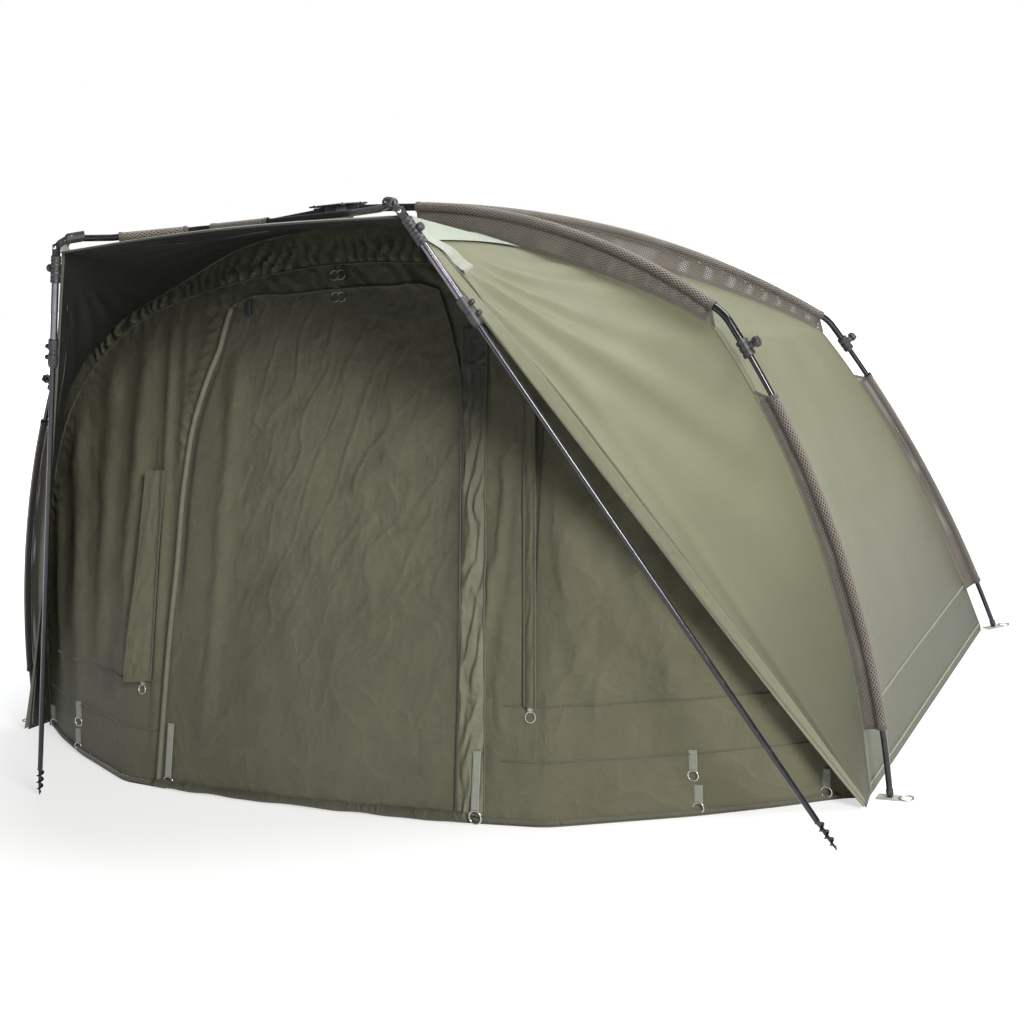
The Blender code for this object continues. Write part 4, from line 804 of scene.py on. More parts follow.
def fan_folds(grid, corner, edge_way, count, reach, depth, seed):
    """Soft folds that spread from a corner: cosines of the angle round it, dying away with distance."""
    out = grid - corner
    far = np.linalg.norm(out, axis=-1)
    first = unit(edge_way)
    aside = out - (out @ first)[..., None] * first
    angle = np.arctan2(np.linalg.norm(aside, axis=-1), out @ first)
    wobble = drift(angle * 2.0, far, seed, 2.5, 0.7, 5)
    swell = np.cos(angle * count + wobble * 1.3)
    return depth * swell * np.exp(-far / reach) * ease(far, 0.10, 0.34)


# ---------------------------------------------------------------------------
# Canopy
# ---------------------------------------------------------------------------
def side_and_rear_panels():
    """Each panel is two halves, one riding on each rib."""
    rows = np.linspace(0, 1, PANEL_STEPS)
    places = rows * (ROW_COUNT - 1)
    spans = [
        ("side_panel_right", "front_right", "rear_right", 1, -1, SIDE_SAG),
        ("side_panel_left", "front_left", "rear_left", -1, 1, SIDE_SAG),
        ("rear_panel", "rear_right", "rear_left", 1, -1, REAR_SAG),
    ]
    for number, (name, one, two, turn_one, turn_two, sag) in enumerate(spans):
        first = seam_line(RIBS[one], places, turn_one)
        second = seam_line(RIBS[two], places, turn_two)
        grid = ruled(first, second, np.linspace(0, 1, PANEL_STEPS), rows, sag)
        u, v = np.meshgrid(np.linspace(0, 1, PANEL_STEPS), rows)
        rim = np.sin(math.pi * u) ** 0.5 * np.sin(math.pi * np.clip(v * 1.02, 0, 1)) ** 0.5
        height = 0.0022 * drift(u * 1.4 + v * 0.5, v * 2.2, 31 + number, 1.2, 0.25) * rim
        for k, corner in enumerate((grid[72, 0], grid[72, -1])):
            way = grid[60, 60] - corner
            height = height + fan_folds(grid, corner, way, 9, 0.28, 0.0035, 41 + number + k) * rim
        height = height - 0.0035 * np.exp(-((v - 0.942) / 0.006) ** 2)
        grid = raised(grid, height)
        uv = metres_uv(grid)
        for part, rib, columns in (("front", one, slice(0, 61)), ("back", two, slice(60, 121))):
            body = "rib_" + rib
            made = cloth_piece(f"{name}_{part}_half", grid[:, columns], ("side", "inside"),
                               body, uv[:, columns],
                               marks={"low": low_shade(grid[:, columns])})
            fold(made)
            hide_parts(name)
            as_sheet(made)
            skirt_seam(made.name, grid[:, columns], rib)


def fold(made):
    """Gives a piece its own copy of its mesh."""
    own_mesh(made)


def skirt_seam(name, grid, rib):
    """Stitched band where the ground skirt joins the panel, and the turned hem on the ground."""
    for label, row, wide in (("skirt_seam", 113, 0.0055), ("ground_hem", 119, 0.007)):
        path = grid[row] - inward(grid[row]) * 0.0012
        across = unit(grid[row] - grid[row - 2])
        fold(band(f"{name}_{label}", path, across, wide, 0.0016, "pale_hem", "rib_" + rib))


def front_line(places):
    """Distance from the middle, and height, of the front ribs' seam."""
    return RIBS["front_right"].seam(np.asarray(places, float))


def seam_height(x):
    """Height of the front rib's seam at a distance from the middle."""
    line = front_line(np.linspace(0, ROW_COUNT - 1, 400))
    return np.interp(np.abs(x), line[:, 0], line[:, 1])


def split_place():
    """The row where the roof ends and the wing begins: the seam's row nearest the brow's corner."""
    line = front_line(np.arange(ROW_COUNT))
    return int(np.argmin(np.abs(line[:, 0] - BROW_HALF)))


def brow_edge(share):
    """Front edge of the roof: straight across, crowned by a cosine."""
    share = np.asarray(share, float)
    crown = BROW_CROWN * np.cos(share * math.pi / 2)
    return np.stack([share * BROW_HALF, np.full_like(share, -BROW_REACH), BROW_HEIGHT + crown], -1)


def roof_surface(shares, rows):
    """From the seam at row 0 to the brow's edge at row 1, dipping by a sine between."""
    half = front_line([split_place()])[0, 0]
    shares, rows = np.asarray(shares, float)[None], np.asarray(rows, float)[:, None]
    x = shares * half
    flat = np.where(np.abs(x) < HUB_SEAM_R, seam_height(HUB_SEAM_R), seam_height(x))
    back = np.stack([x, np.full_like(x, -SEAM_GAP / 2), flat], -1)
    grid = back * (1 - rows)[..., None] + brow_edge(shares) * rows[..., None]
    dip = ROOF_SAG * np.sin(math.pi * rows) * np.cos(shares * math.pi / 2)
    return grid + inward(grid) * dip[..., None]


def bend(made):
    """Bakes a piece's place into its mesh."""
    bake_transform(made)


def roof():
    """The peak over the door, in two halves that meet under the brow bar's middle."""
    rows = np.linspace(0, 1, 61)
    for side, turn in SIDES:
        shares = np.linspace(0, turn, 61)
        grid = roof_surface(shares, rows)
        u, v = np.meshgrid(shares, rows)
        rim = np.sin(math.pi * v) ** 0.5 * np.clip((1 - np.abs(u)) * 5, 0, 1)
        height = 0.0016 * drift(u, v * 1.5, 12, 0.8, 0.18) * rim
        height = height + 0.0025 * rim * ridges(v * 30 + u * 5, 3.0) * ease(np.abs(u), 0.2, 0.8)
        grid = raised(grid, height)
        made = cloth_piece("roof_" + side, grid, ("side", "inside"), None,
                           metres_uv(grid), marks={"low": low_shade(grid)})
        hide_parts("roof_panel")
        bend(made)
        as_sheet(made)
        edge = grid[-1] + [0, -0.0015, 0.0008]
        band("brow_hem_" + side, edge, (0, 1, 0.1), 0.022, 0.0026, "hem", "shelter")
        cord_line("brow_piping_" + side, grid[-1] + [0, -0.012, -0.001], 0.0024, "piping", "shelter")


def wing_surface(turn, rows, shares):
    """Ruled from the rib's seam to the free edge, as far as rows go from the brow to the ground."""
    places = split_place() + np.asarray(rows) * (ROW_COUNT - 1 - split_place())
    flat = front_line(places)
    seam = np.stack([flat[:, 0], np.full(len(flat), -SEAM_GAP / 2), flat[:, 1]], -1)
    whole = front_line(np.linspace(split_place(), ROW_COUNT - 1, 300))
    steps = gone(whole)
    along = np.interp(places, np.linspace(split_place(), ROW_COUNT - 1, 300), steps / steps[-1])[:, None]
    corner = brow_edge(1.0) + [SEAM_GAP, 0.0, 0.0]
    foot = np.array([whole[-1, 0] + WING_FOOT_OUT, -WING_FOOT_REACH, 0.0])
    edge = corner * (1 - along) + foot * along
    edge = edge + inward(edge) * WING_SAG * np.sin(math.pi * along)
    grid = ruled(seam, edge, shares, rows, WING_SAG)
    return grid * [turn, 1.0, 1.0]


def wings():
    """Side curtains from the brow's corner to the ground, with hemmed free edges."""
    rows, shares = np.linspace(0, 1, 201), np.linspace(0, 1, 61)
    for side, turn in SIDES:
        grid = wing_surface(turn, rows, shares)
        u, v = np.meshgrid(shares, rows)
        rim = np.clip(u * 9, 0, 1) * np.clip((1.0 - u) * 12, 0, 1)
        rim = rim * np.clip((1 - v) * 14, 0, 1) * ease(v, 0.035, 0.15)
        way = grid[-1, -1] - grid[0, -1]
        height = fan_folds(grid, grid[0, -1], way, 34, 0.55, 0.0125, 7) * rim
        height = height + fan_folds(grid, grid[0, -1], way, 15, 0.60, 0.0080, 9) * rim
        height = height + 0.0020 * drift(u * 0.6, v * 2.4, 5, 1.1, 0.2) * rim
        puckers = 0.0045 * ridges((1 - u) * 26 + 0.8, 2.5) * ease(u, 0.62, 0.85)
        height = height + puckers * rim * ease(v, 0.1, 0.3)
        grid = raised(grid, height)
        made = cloth_piece("wing_cloth_" + side, grid, ("side", "inside"), None,
                           metres_uv(grid), marks={"low": low_shade(grid)})
        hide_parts("wing_" + side)
        bend(made)
        as_sheet(made)
        out = -inward(grid)
        across = unit(grid[:, -1] - grid[:, -4])
        for label, column, wide, thick, what in (
            ("edge_hem", -3, 0.030, 0.0030, "pale_hem"), ("edge_piping", -1, 0.006, 0.0050, "hem"),
            ("hem_stitch", -6, 0.005, 0.0030, "hem"),
        ):
            path = grid[:-1, column] + out[:-1, column] * 0.0012
            made = band(f"wing_{label}_{side}", path, across[:-1], wide, thick, what, None)
            bend(made)
        wing_patch(side, turn)


def wing_patch(side, turn):
    """Pale clear patch where roof and wing meet under the rib, and the strap's loose folded end."""
    shares = np.linspace(0.05, 0.97, 30)
    rows = np.linspace(0, 1, 12)
    whole = wing_surface(turn, np.linspace(0, 0.06, 40), shares)
    reach = (0.008 + 0.042 * shares) / 0.06
    place = np.clip(rows[:, None] * reach[None], 0, 1) * 39
    low = np.floor(place).astype(int).clip(0, 38)
    pick = np.arange(30)[None]
    part = (place - low)[..., None]
    patch = whole[low, pick] * (1 - part) + whole[low + 1, pick] * part
    over = roof_surface(np.linspace(0.80, 1.0, 12) * turn, 1 - shares * 0.98).transpose(1, 0, 2)
    for label, sheet in (("wing", patch), ("roof", over)):
        sheet = raised(sheet, np.full(sheet.shape[:2], 0.0055))
        made = cloth_piece(f"clear_patch_{label}_{side}", sheet, "clear", None,
                           metres_uv(sheet), thick=0.0006)
        bend(made)
        as_sheet(made)
    steps = np.linspace(0, 1, 40)[:, None]
    ends = wing_surface(turn, np.linspace(0.030, 0.125, 40), np.linspace(0.80, 1.0, 40))
    pick = np.arange(40)
    path = ends[pick, (37 - 24 * ease(pick / 39, 0, 0.5)).astype(int)]
    columns = (np.pad(path[:, k], 4, mode="edge") for k in range(3))
    path = np.stack([np.convolve(column, np.ones(9) / 9, "valid") for column in columns], -1)
    path = path - inward(path) * (0.010 + 0.010 * ease(steps, 0.80, 0.97))
    across = np.cross(inward(path), unit(np.gradient(path, axis=0)))
    for label, keep, lift in (("strap", slice(0, 40), 0.0), ("strap_fold", slice(29, 39), 0.0035)):
        line = path[keep] - inward(path[keep]) * lift
        made = band(f"wing_{label}_{side}", line, across[keep], 0.026, 0.0020, "webbing", None)
        bend(made)


# ---------------------------------------------------------------------------
# Front wall and door
# ---------------------------------------------------------------------------
RUFFLE_KNOTS = np.array([
    (0.0, 1.296), (0.14, 1.291), (0.291, 1.276), (0.454, 1.252), (0.6, 1.218), (0.723, 1.172), (0.856, 1.083),
    (0.943, 0.995), (1.03, 0.866), (1.10, 0.70), (1.16, 0.48), (1.20, 0.26), (1.222, 0.05),
])
DOOR_LEFT = np.array([
    (0.0, -0.497), (0.165, -0.494), (0.366, -0.488), (0.568, -0.476), (0.807, -0.468), (0.977, -0.444),
    (1.071, -0.412), (1.179, -0.364), (1.24, -0.335),
])
DOOR_RIGHT = np.array([
    (0.0, 0.408), (0.24, 0.403), (0.5, 0.401), (0.723, 0.391), (0.95, 0.380), (1.068, 0.368), (1.17, 0.335),
    (1.24, 0.300),
])
DOOR_TOP = np.array([
    (-0.37, 1.175), (-0.352, 1.196), (-0.287, 1.226), (-0.136, 1.231), (0.026, 1.236), (0.161, 1.233),
    (0.27, 1.226), (0.32, 1.200), (0.345, 1.175),
])


def wall_end():
    """Where the wall ends at the ground, beside the front foot."""
    return float(front_line([ROW_COUNT - 1])[0, 0]) - WALL_END_GAP


def wall_base(x):
    """How far the wall's foot stands forward: straight runs between its bends, eased over 3 cm."""
    x = np.abs(np.asarray(x, float))
    bends = [(wall_end() * across, WALL_BASE_Y * forward) for across, forward in WALL_BASE_SHARES]
    line = np.array([(0.0, WALL_BASE_Y), (DOOR_HALF, WALL_BASE_Y), *bends, (wall_end(), WALL_END_Y)])
    steps = np.linspace(-0.03, 0.03, 7)
    out = np.mean([np.interp(np.abs(x + step), line[:, 0], line[:, 1]) for step in steps], 0)
    return out + DOOR_BULGE * np.clip(1 - (x / DOOR_HALF) ** 2, 0, 1)


def ruffle_line():
    """The gathered seam as a fine line of (x, z), from the left foot over the top to the right one."""
    x = np.concatenate([-RUFFLE_KNOTS[::-1, 0], RUFFLE_KNOTS[1:, 0]])
    z = np.concatenate([RUFFLE_KNOTS[::-1, 1], RUFFLE_KNOTS[1:, 1]])
    far = np.concatenate([[0], np.cumsum(np.hypot(np.diff(x), np.diff(z)))])
    places = np.linspace(0, far[-1], 700)
    return np.stack([through(places, far, x), through(places, far, z)], -1), places


def from_ruffle(x, z):
    """Signed distance out from the gathered seam, and the length along it of the nearest place."""
    line, along = ruffle_line()
    shape = np.shape(x)
    spot = np.stack([np.ravel(x), np.ravel(z)], -1)
    near = np.empty(len(spot), int)
    for part in np.array_split(np.arange(len(spot)), max(1, len(spot) // 4000)):
        gap = ((spot[part, None] - line[None]) ** 2).sum(-1)
        near[part] = gap.argmin(1)
    way = unit(np.gradient(line, axis=0))[near]
    out = spot - line[near]
    side = way[:, 0] * out[:, 1] - way[:, 1] * out[:, 0]
    return side.reshape(shape), along[near].reshape(shape)


def gathers(x, out, along):
    """Where each place is in the gathers' waves, and how strong they are there."""
    phase = along * 2 * math.pi / 0.036 + 3.4 * drift(along, out * 2, 3, 0.4, 0.06) + out * 22
    above = ease(out, -0.003, 0.012) * (1 - 0.80 * ease(out, 0.03, 0.11))
    return phase, above * (1 - ease(np.abs(x), 0.80, 1.0))


def wall_shade(x, z):
    """Darkening above the gathered seam, most in the hollows between its folds, and under the brow."""
    out, along = from_ruffle(x, z)
    phase, above = gathers(x, out, along)
    hollow = above * (1 - ridges(phase, 1.1)) * 0.97
    under = np.where(out > 0, 0.22, brow_shade(z))
    return np.maximum(np.maximum(ease(out, 0.035, 0.12) * 0.94, hollow), under)


def gather_relief(out, along, phase, above):
    """Ridges on the gathers' waves above the seam, and below it cosines that die away in 35 mm."""
    uneven = 0.75 + 0.5 * drift(along, out, 9, 0.5, 0.07)
    below = ease(-out, -0.002, 0.006) * np.exp(-np.clip(-out, 0, 1) / 0.035)
    return 0.0270 * ridges(phase, 1.7) * above * uneven + 0.0050 * np.cos(phase * 0.83 + 1.0) * below


def hanging_folds(x, z, out):
    """Upright ridges left of the door, slanting ones right of it, and swells and creases on both;
    all fade out towards the gathered seam and the ground."""
    hang = ease(-out, 0.0, 0.10) * np.clip(z * 3.2, 0, 1)
    edge = np.clip((wall_end() - np.abs(x)) * 12, 0, 1)
    left, right = ease(-x, 0.55, 0.62) * edge, ease(x, 0.60, 0.68) * edge
    beside_door = np.exp(-((x + 0.535) / 0.045) ** 2)
    slant = x * 30 + ((x - 0.6) * 0.5 + z) * 9
    away = ease(np.abs(x), 0.50, 0.60) * edge * (0.3 + 0.7 * ease(x, 0.0, 0.1))
    return hang * (
        0.0135 * left * ridges(x * 47 + 0.6 * drift(x, z, 8, 0.9, 0.3), 1.5)
        + 0.0110 * beside_door * ridges(x * 95 + z * 2.2, 1.4)
        + 0.0110 * right * ridges(slant + drift(x, z, 6, 0.8, 0.2), 1.6)
        + 0.0030 * (left + right) * drift(x * 1.6, z, 17, 0.5, 0.09, 10)
        + 0.0045 * away * crumple(x, z * 0.6 - np.abs(x) * 0.5, 67, 0.12)
    )


def door_folds(x, z):
    """Pleats right of the door, and on it: slanting ridges, uneven swells, creases, ridges that sag
    at the foot, and one tall bulge near the left edge."""
    pleats = np.exp(-((x - 0.475) / 0.055) ** 2) * ease(z, 0.02, 0.2)
    door, off_ground = ease(0.40 - np.abs(x), 0.0, 0.06), np.clip(z * 6, 0, 1)
    drag = ease(x, -0.1, 0.3) * ease(z, 0.35, 0.6) * (1 - ease(z, 1.05, 1.2))
    most = 0.35 + 0.65 * ease(z, 0.30, 0.62) * ease(x, -0.35, -0.05)
    sag = np.exp(-((z / 0.13) ** 2)) * ease(z, 0.0, 0.03)
    tall = np.exp(-((x + 0.36 - 0.05 * z) / 0.028) ** 2) * ease(z, 0.05, 0.3) * (1 - ease(z, 1.0, 1.15))
    on_door = (
        0.0082 * drag * ridges((z - 0.75 * x) * 26 + 2.0 * drift(x, z, 14, 0.9, 0.2), 2.2)
        + 0.0056 * off_ground * drift(x, z * 0.7, 15, 0.6, 0.07, 14)
        + 0.0036 * off_ground * most * crumple(x * 1.15 - z * 0.35, z * 0.5 - x * 0.15, 61, 0.068)
        + 0.0080 * sag * ridges(z * 62 - x * 5 + 1.5 * drift(x * 0.6, z, 37, 0.7, 0.12), 1.4)
    )
    pleated = ridges(x * 90 - z * 9 + 1.2 * drift(x * 2, z, 21, 0.4, 0.08), 1.3)
    return 0.0095 * pleats * pleated + door * on_door + 0.012 * tall


def zip_track(x, z):
    """1 where the zip's slider and ring run, so that the wall stays flat there, and 0 beside it."""
    beside = 1 - ease(np.abs(np.abs(x) - ZIP_X), 0.018, 0.042)
    return beside * ease(z, 0.16, 0.21) * (1 - ease(z, 0.76, 0.84))


def seam_folds(x, z, out):
    """Short slanting ridges just under the gathered seam, and small ones down the door's left edge."""
    under = ease(out, -0.065, -0.05) * ease(-out, 0.0, 0.01) * ease(0.5 - np.abs(x), 0.0, 0.1)
    seam = door_edges(np.clip(z, 0, DOOR_TALL))[0]
    pucker = np.exp(-(((x - seam + 0.028) / 0.020) ** 2)) * ease(z, 0.72, 0.95) * ease(-out, 0.0, 0.02)
    return (
        0.0130 * under * ridges(x * 95 + z * 80 + 2.5 * drift(x, z, 23, 0.3, 0.06), 1.5)
        + 0.0110 * pucker * ridges(z * 170 + x * 60 + 2.0 * drift(z, x, 27, 0.2, 0.05), 1.3)
    )


def wall_relief(x, z):
    """How far the wall's cloth swells forward: the sum of its kinds of folds, none on the zips' tracks."""
    out, along = from_ruffle(x, z)
    folds = gather_relief(out, along, *gathers(x, out, along)) + hanging_folds(x, z, out) + door_folds(x, z)
    return folds * (1 - zip_track(x, z)) + seam_folds(x, z, out)


def wall_surface(x, z, lift=0.0):
    """The lean of the wall at x and height z, with its relief pushed forward."""
    x, z = np.broadcast_arrays(np.asarray(x, float), np.asarray(z, float))
    top = np.maximum(seam_height(x), 0.02)
    share = np.clip(z / top, 0, 1)
    base = wall_base(x)
    free = np.sin(math.pi * np.clip(share, 0, 1)) ** 0.35 * np.clip(share * 14, 0, 1)
    y = -base * (1 - share) - wall_relief(x, z) * free - lift
    return np.stack([x, y, z], -1)


def brow_shade(z):
    """How much the wall darkens towards the brow."""
    return 0.50 * ease(z, 0.80, 1.24)


def door_edges(z):
    """Left and right edge of the door at a height."""
    return [through(z, edge[:, 0], edge[:, 1]) for edge in (DOOR_LEFT, DOOR_RIGHT)]


def door_lid(x):
    """Height of the door's upper edge."""
    return through(np.clip(x, DOOR_LID_LEFT, DOOR_LID_RIGHT), DOOR_TOP[:, 0], DOOR_TOP[:, 1])


def front_wall():
    """The fixed wall in three parts, open behind the door; the middle one rides on the shelter, the outer two
    on no body.
    """
    end, shares = wall_end(), np.linspace(0, 1, 150)
    for label, turn, low, high, count in (
        ("right", 1, WALL_SPLIT_X, end, 110), ("middle", 0, -WALL_SPLIT_X, WALL_SPLIT_X, 230),
        ("left", -1, -WALL_SPLIT_X, -end, 110),
    ):
        x, share = np.meshgrid(np.linspace(low, high, count), shares)
        z = (seam_height(x) - 0.0022) * share
        left, right = door_edges(np.clip(z, 0, DOOR_TALL))
        inside = (x > left + 0.02) & (x < right - 0.02) & (z < door_lid(x) - 0.02)
        cells = ~(inside[:-1, :-1] & inside[1:, 1:] & inside[1:, :-1] & inside[:-1, 1:])
        made = cloth_piece("front_wall_" + label, wall_surface(x, z), ("front", "inside"), None,
                           np.stack([x, z], -1), out=WALL_OUT, cells=cells,
                           marks={"deep": wall_shade(x, z)})
        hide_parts("front_wall")
        if turn:
            bend(made)
        else:
            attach(made, "shelter")
        as_sheet(made)


def door_shade(x, z, left, right):
    """Darkening under the brow, in the crease beside the left edge and along the right edge."""
    crease = 0.9 * np.exp(-(((x - left - 0.021) / 0.0075) ** 2)) * ease(z, 0.35, 0.6)
    side = 0.55 * np.exp(-(((right - x) / 0.040) ** 2)) * ease(z, 0.05, 0.5)
    return np.maximum(brow_shade(z), np.maximum(crease, side))


def door():
    """The hanging door, between its piped edges and over its rolled hem."""
    rows, shares = np.linspace(0, 1, 230), np.linspace(0, 1, 170)
    u, v = np.meshgrid(shares, rows)
    left, right = door_edges(v * DOOR_TALL)
    x = left + (right - left) * u
    z = DOOR_FOOT + (door_lid(x) - DOOR_FOOT) * v
    grid = wall_surface(x, z, lift=0.0032)
    made = cloth_piece("door_cloth", grid, ("front", "inside"), "shelter",
                       np.stack([x, z], -1), out=WALL_OUT, marks={"deep": door_shade(x, z, left, right)})
    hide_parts("door_panel")
    as_sheet(made)
    # The left edge's roll takes the paler finish: painted highlight.
    for label, path, size, what in (
        ("left", grid[:, 0], 0.0060, "edge_roll"), ("right", grid[:, -1], PIPING_R, "piping"),
        ("top", grid[-1], 0.003, "piping"),
    ):
        cord_line("door_edge_" + label, path + [0.0, -0.0045, 0.0], size, what, "shelter",
                  hint=FORWARD, sides=12)
    x = np.linspace(left[0, 0] - 0.01, right[0, -1] + 0.03, 90)
    roll = wall_surface(x, np.full(90, 0.0150), lift=0.006)
    size = 0.0125 * (1 + 0.16 * drift(x, x * 0, 2, 0.3, 0.05))
    _, first, second = path_axes(roll, UP)
    outline = round_outline(1.0, 14)[None] * size[:, None, None]
    solid("door_roll", section(roll, first, second, outline), "roll", "shelter", edge=None)


def wall_strip(name, edges, z_low, z_high, lift, folds, rise=(0.0, 0.0), pleated=False):
    """A strip laid on the wall between two sloping sides, piped down both, with slanting creases.
    Its second side stands further off the wall than its first, by rise at the foot and at the top."""
    v, u = np.linspace(0, 1, 160)[:, None], np.linspace(0, 1, 28)[None]
    left, right = (low + (high - low) * v for low, high in edges)
    x = left + (right - left) * u
    z = z_low + (z_high - z_low) * v + 0 * u
    grid = wall_surface(x, z, lift=lift + (rise[0] + (rise[1] - rise[0]) * ease(v, 0.0, 0.8)) * u)
    creases = ridges(x * 190 - z * 30 + 2.5 * drift(x * 2, z, 33, 0.3, 0.05), 1.2)
    crown = np.sin(math.pi * u) * 0.003 + folds * creases
    grid[..., 1] -= crown * np.sin(math.pi * u) ** 0.4
    shade = np.maximum(brow_shade(z), 0.8 * ease(z, 0.70, 1.05) * pleated)
    made = cloth_piece(name, grid, "pleats" if pleated else "front", "shelter",
                       np.stack([x, z], -1), out=WALL_OUT, marks={"deep": shade})
    as_sheet(made)
    for label, column in (("a", 0), ("b", -1)):
        path = grid[:, column] + [0, -0.001, 0]
        cord_line(f"{name}_piping_{label}", path, PIPING_R, "hem", "shelter", FORWARD)


def wall_line(name, x, z, lift, radius, what, side=None, turn=0, hint=FORWARD):
    """Piping laid along the wall; side is not used, and with a turn the piping keeps no body, else it rides
    on the shelter.
    """
    path = wall_surface(x, z + 0 * x, lift=lift)
    made = cord_line(name, path, radius, what, None if turn else "shelter", hint)
    if turn:
        bend(made)


def wall_trim():
    """Gathered seam, window flaps with their zips, strips beside the door, and skirt seams."""
    line, _ = ruffle_line()
    x = line[:, 0]
    for label, turn, keep in (
        ("middle", 0, np.abs(x) < 0.635), ("right", 1, x > WALL_SPLIT_X), ("left", -1, x < -WALL_SPLIT_X),
    ):
        wall_line("gathered_seam_" + label, *line[keep].T, 0.003, PIPING_R, "piping", label, turn)
    wall_strip("pleated_strip_right", ((0.412, 0.366), (0.480, 0.430)), 0.02, 1.12, 0.004, 0.008,
               pleated=True)
    wall_strip("zip_cover_right", ((0.5675, 0.534), (0.599, 0.565)), ZIP_HEIGHT, 0.94, 0.0045, 0.0022,
               rise=(0.0085, 0.0085))
    wall_strip("zip_cover_left", ((-0.552, -0.540), (-0.625, -0.600)), ZIP_HEIGHT, 0.80, 0.0045, 0.0022,
               rise=(0.030, 0.020))
    for side, turn in SIDES:
        z = np.linspace(ZIP_HEIGHT + 0.010, 0.88, 90)
        coil = wall_surface(turn * (ZIP_X + 0 * z), z, lift=0.0014)
        band("zip_coil_" + side, coil, ACROSS, 0.0055, 0.0014, "piping", "shelter")
        for label, height, reach, size in (
            ("window_sill", ZIP_HEIGHT, 1.10, 0.0021), ("skirt_fold", SKIRT_FOLD_HEIGHT, 1.19, 0.0018),
        ):
            outer, inner = turn * np.linspace(FLAP_X, reach, 80), turn * np.linspace(0.515, FLAP_X, 20)
            wall_line(f"{label}_{side}", outer, height, 0.0012, size, "hem", side, turn)
            wall_line(f"{label}_inner_{side}", inner, height, 0.0012, size, "hem")
        outer, inner = turn * np.linspace(0.66, 1.215, 90), turn * np.linspace(0.45, 0.66, 30)
        wall_line("wall_hem_" + side, outer, WALL_HEM_HEIGHT, 0.003, 0.0055, "hem", side, turn, UP)
        wall_line("wall_hem_inner_" + side, inner, WALL_HEM_HEIGHT, 0.003, 0.0055, "hem", hint=UP)


def ring_tabs():
    """Webbing tabs with rings, three on each side of the wall; the header's rings and black toggle."""
    for side, turn in SIDES:
        for label, x, top, foot in (
            ("upper", 0.932, 0.150, 0.101), ("lower", 0.942, 0.070, 0.028), ("end", 1.19, 0.075, 0.030),
        ):
            heights = np.linspace(top, foot, 12)
            path = wall_surface(turn * (x + 0 * heights), heights, lift=0.0045)
            made = band(f"ring_tab_{label}_{side}", path, ACROSS, TAB_WIDE, TAB_THICK, "webbing", None)
            bend(made)
            made = ring_of_wire(f"ring_{label}_{side}", path[-1] + [0, -0.002, -0.008], ACROSS, UP,
                                TAB_RING_R, TAB_RING_WIRE, "steel", None)
            bend(made)
    for number, (x, z) in enumerate(((0.008, 1.281), (0.009, 1.227))):
        heights = np.linspace(z + 0.016, z - 0.002, 8)
        path = wall_surface(x + 0 * heights, heights, lift=0.004)
        band(f"header_loop_{number}", path, ACROSS, 0.016, 0.002, "hem", "shelter")
        # The header's rings take the darker steel: painted shade under the brow.
        for k, aside in enumerate((-0.009, 0.010)):
            ring_of_wire(f"header_ring_{number}_{k}", path[-1] + [aside, -0.003, -0.009], (1, 0.1, 0),
                         (0, 0.25, 1), 0.012, 0.0014, "dull_steel", "shelter")
    heights = np.linspace(1.222, 1.186, 14)
    path = wall_surface(-0.276 + 0 * heights, heights, lift=0.007)
    band("toggle", path, ACROSS, 0.017, 0.010, "moulding", "shelter")


# ---------------------------------------------------------------------------
# Sleeves, tubes and fittings
# ---------------------------------------------------------------------------
def keyhole(path, up, across, radius, webs, sides=22):
    """A ring round the tube that closes in to two flat sides down to the web's free edge."""
    lean = 0.16
    turn = -math.pi / 2 + lean + (2 * math.pi - 2 * lean) * np.linspace(0, 1, sides)
    ring = np.stack([np.cos(turn), np.sin(turn)], -1) * radius
    ring = np.broadcast_to(ring, (len(path), sides, 2))
    steps = np.linspace(0, 1, 8)[1:]
    half = 0.0009
    foot = -np.asarray(webs)[:, None]
    drop = ring[:, -1:, 1] * (1 - steps) + foot * steps
    narrow = half + (radius * math.sin(lean) - half) * np.clip(1 - steps * 4, 0, 1)
    down = np.stack([np.broadcast_to(-narrow, drop.shape), drop], -1)
    back = np.stack([np.broadcast_to(narrow, drop.shape), drop], -1)[:, ::-1]
    outline = np.concatenate([ring, down, back], 1)
    return section(path, across, up, outline), outline


def mesh_sleeve(name, path, up, across, radius, webs, body, node_name):
    """Netting tunnel over a tube, open at both ends, with taped ends and a taped foot."""
    rings, outline = keyhole(path, up, across, radius, webs)
    count, sides = rings.shape[:2]
    round_it = np.concatenate([np.zeros((count, 1)), np.cumsum(
        np.linalg.norm(np.diff(outline, axis=1), axis=-1), 1)], 1)
    along = gone(path)
    uv = np.stack(np.broadcast_arrays(round_it, along[:, None]), -1)
    closed = np.concatenate([rings, rings[:, :1]], 1)
    last = uv[:, -1:] + [[[0.0018, 0.0]]]
    uv = np.concatenate([uv, last], 1)
    faces = grid_faces(count, sides + 1)
    middle = np.asarray(path)[:, None]
    facing = (sheet_normals(closed) * (closed - middle))[:, 3:18].sum()
    faces = faces[:, ::-1] if facing < 0 else faces
    made = piece(name, closed, faces.tolist(), "net", body, uv)
    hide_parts(node_name)
    for label, k in (("top", 0), ("foot", -1)):
        ring = rings[k] + (rings[k] - np.asarray(path)[k]) * 0.03
        way = unit(np.gradient(np.asarray(path), axis=0))[k]
        outline = flat_outline(0.010, 0.0016, 12)
        out = unit(np.gradient(ring, axis=0))
        normal = np.cross(out, way)
        loop = section(ring, np.broadcast_to(way, ring.shape), normal, outline)
        hoop(f"{name}_{label}_tape", loop, "net_tape", body)
    edge = np.asarray(path) - np.asarray(up) * (np.asarray(webs) - 0.006)[:, None]
    band(f"{name}_seam_tape", edge, np.asarray(up), 0.014, 0.0046, "net_tape", body)


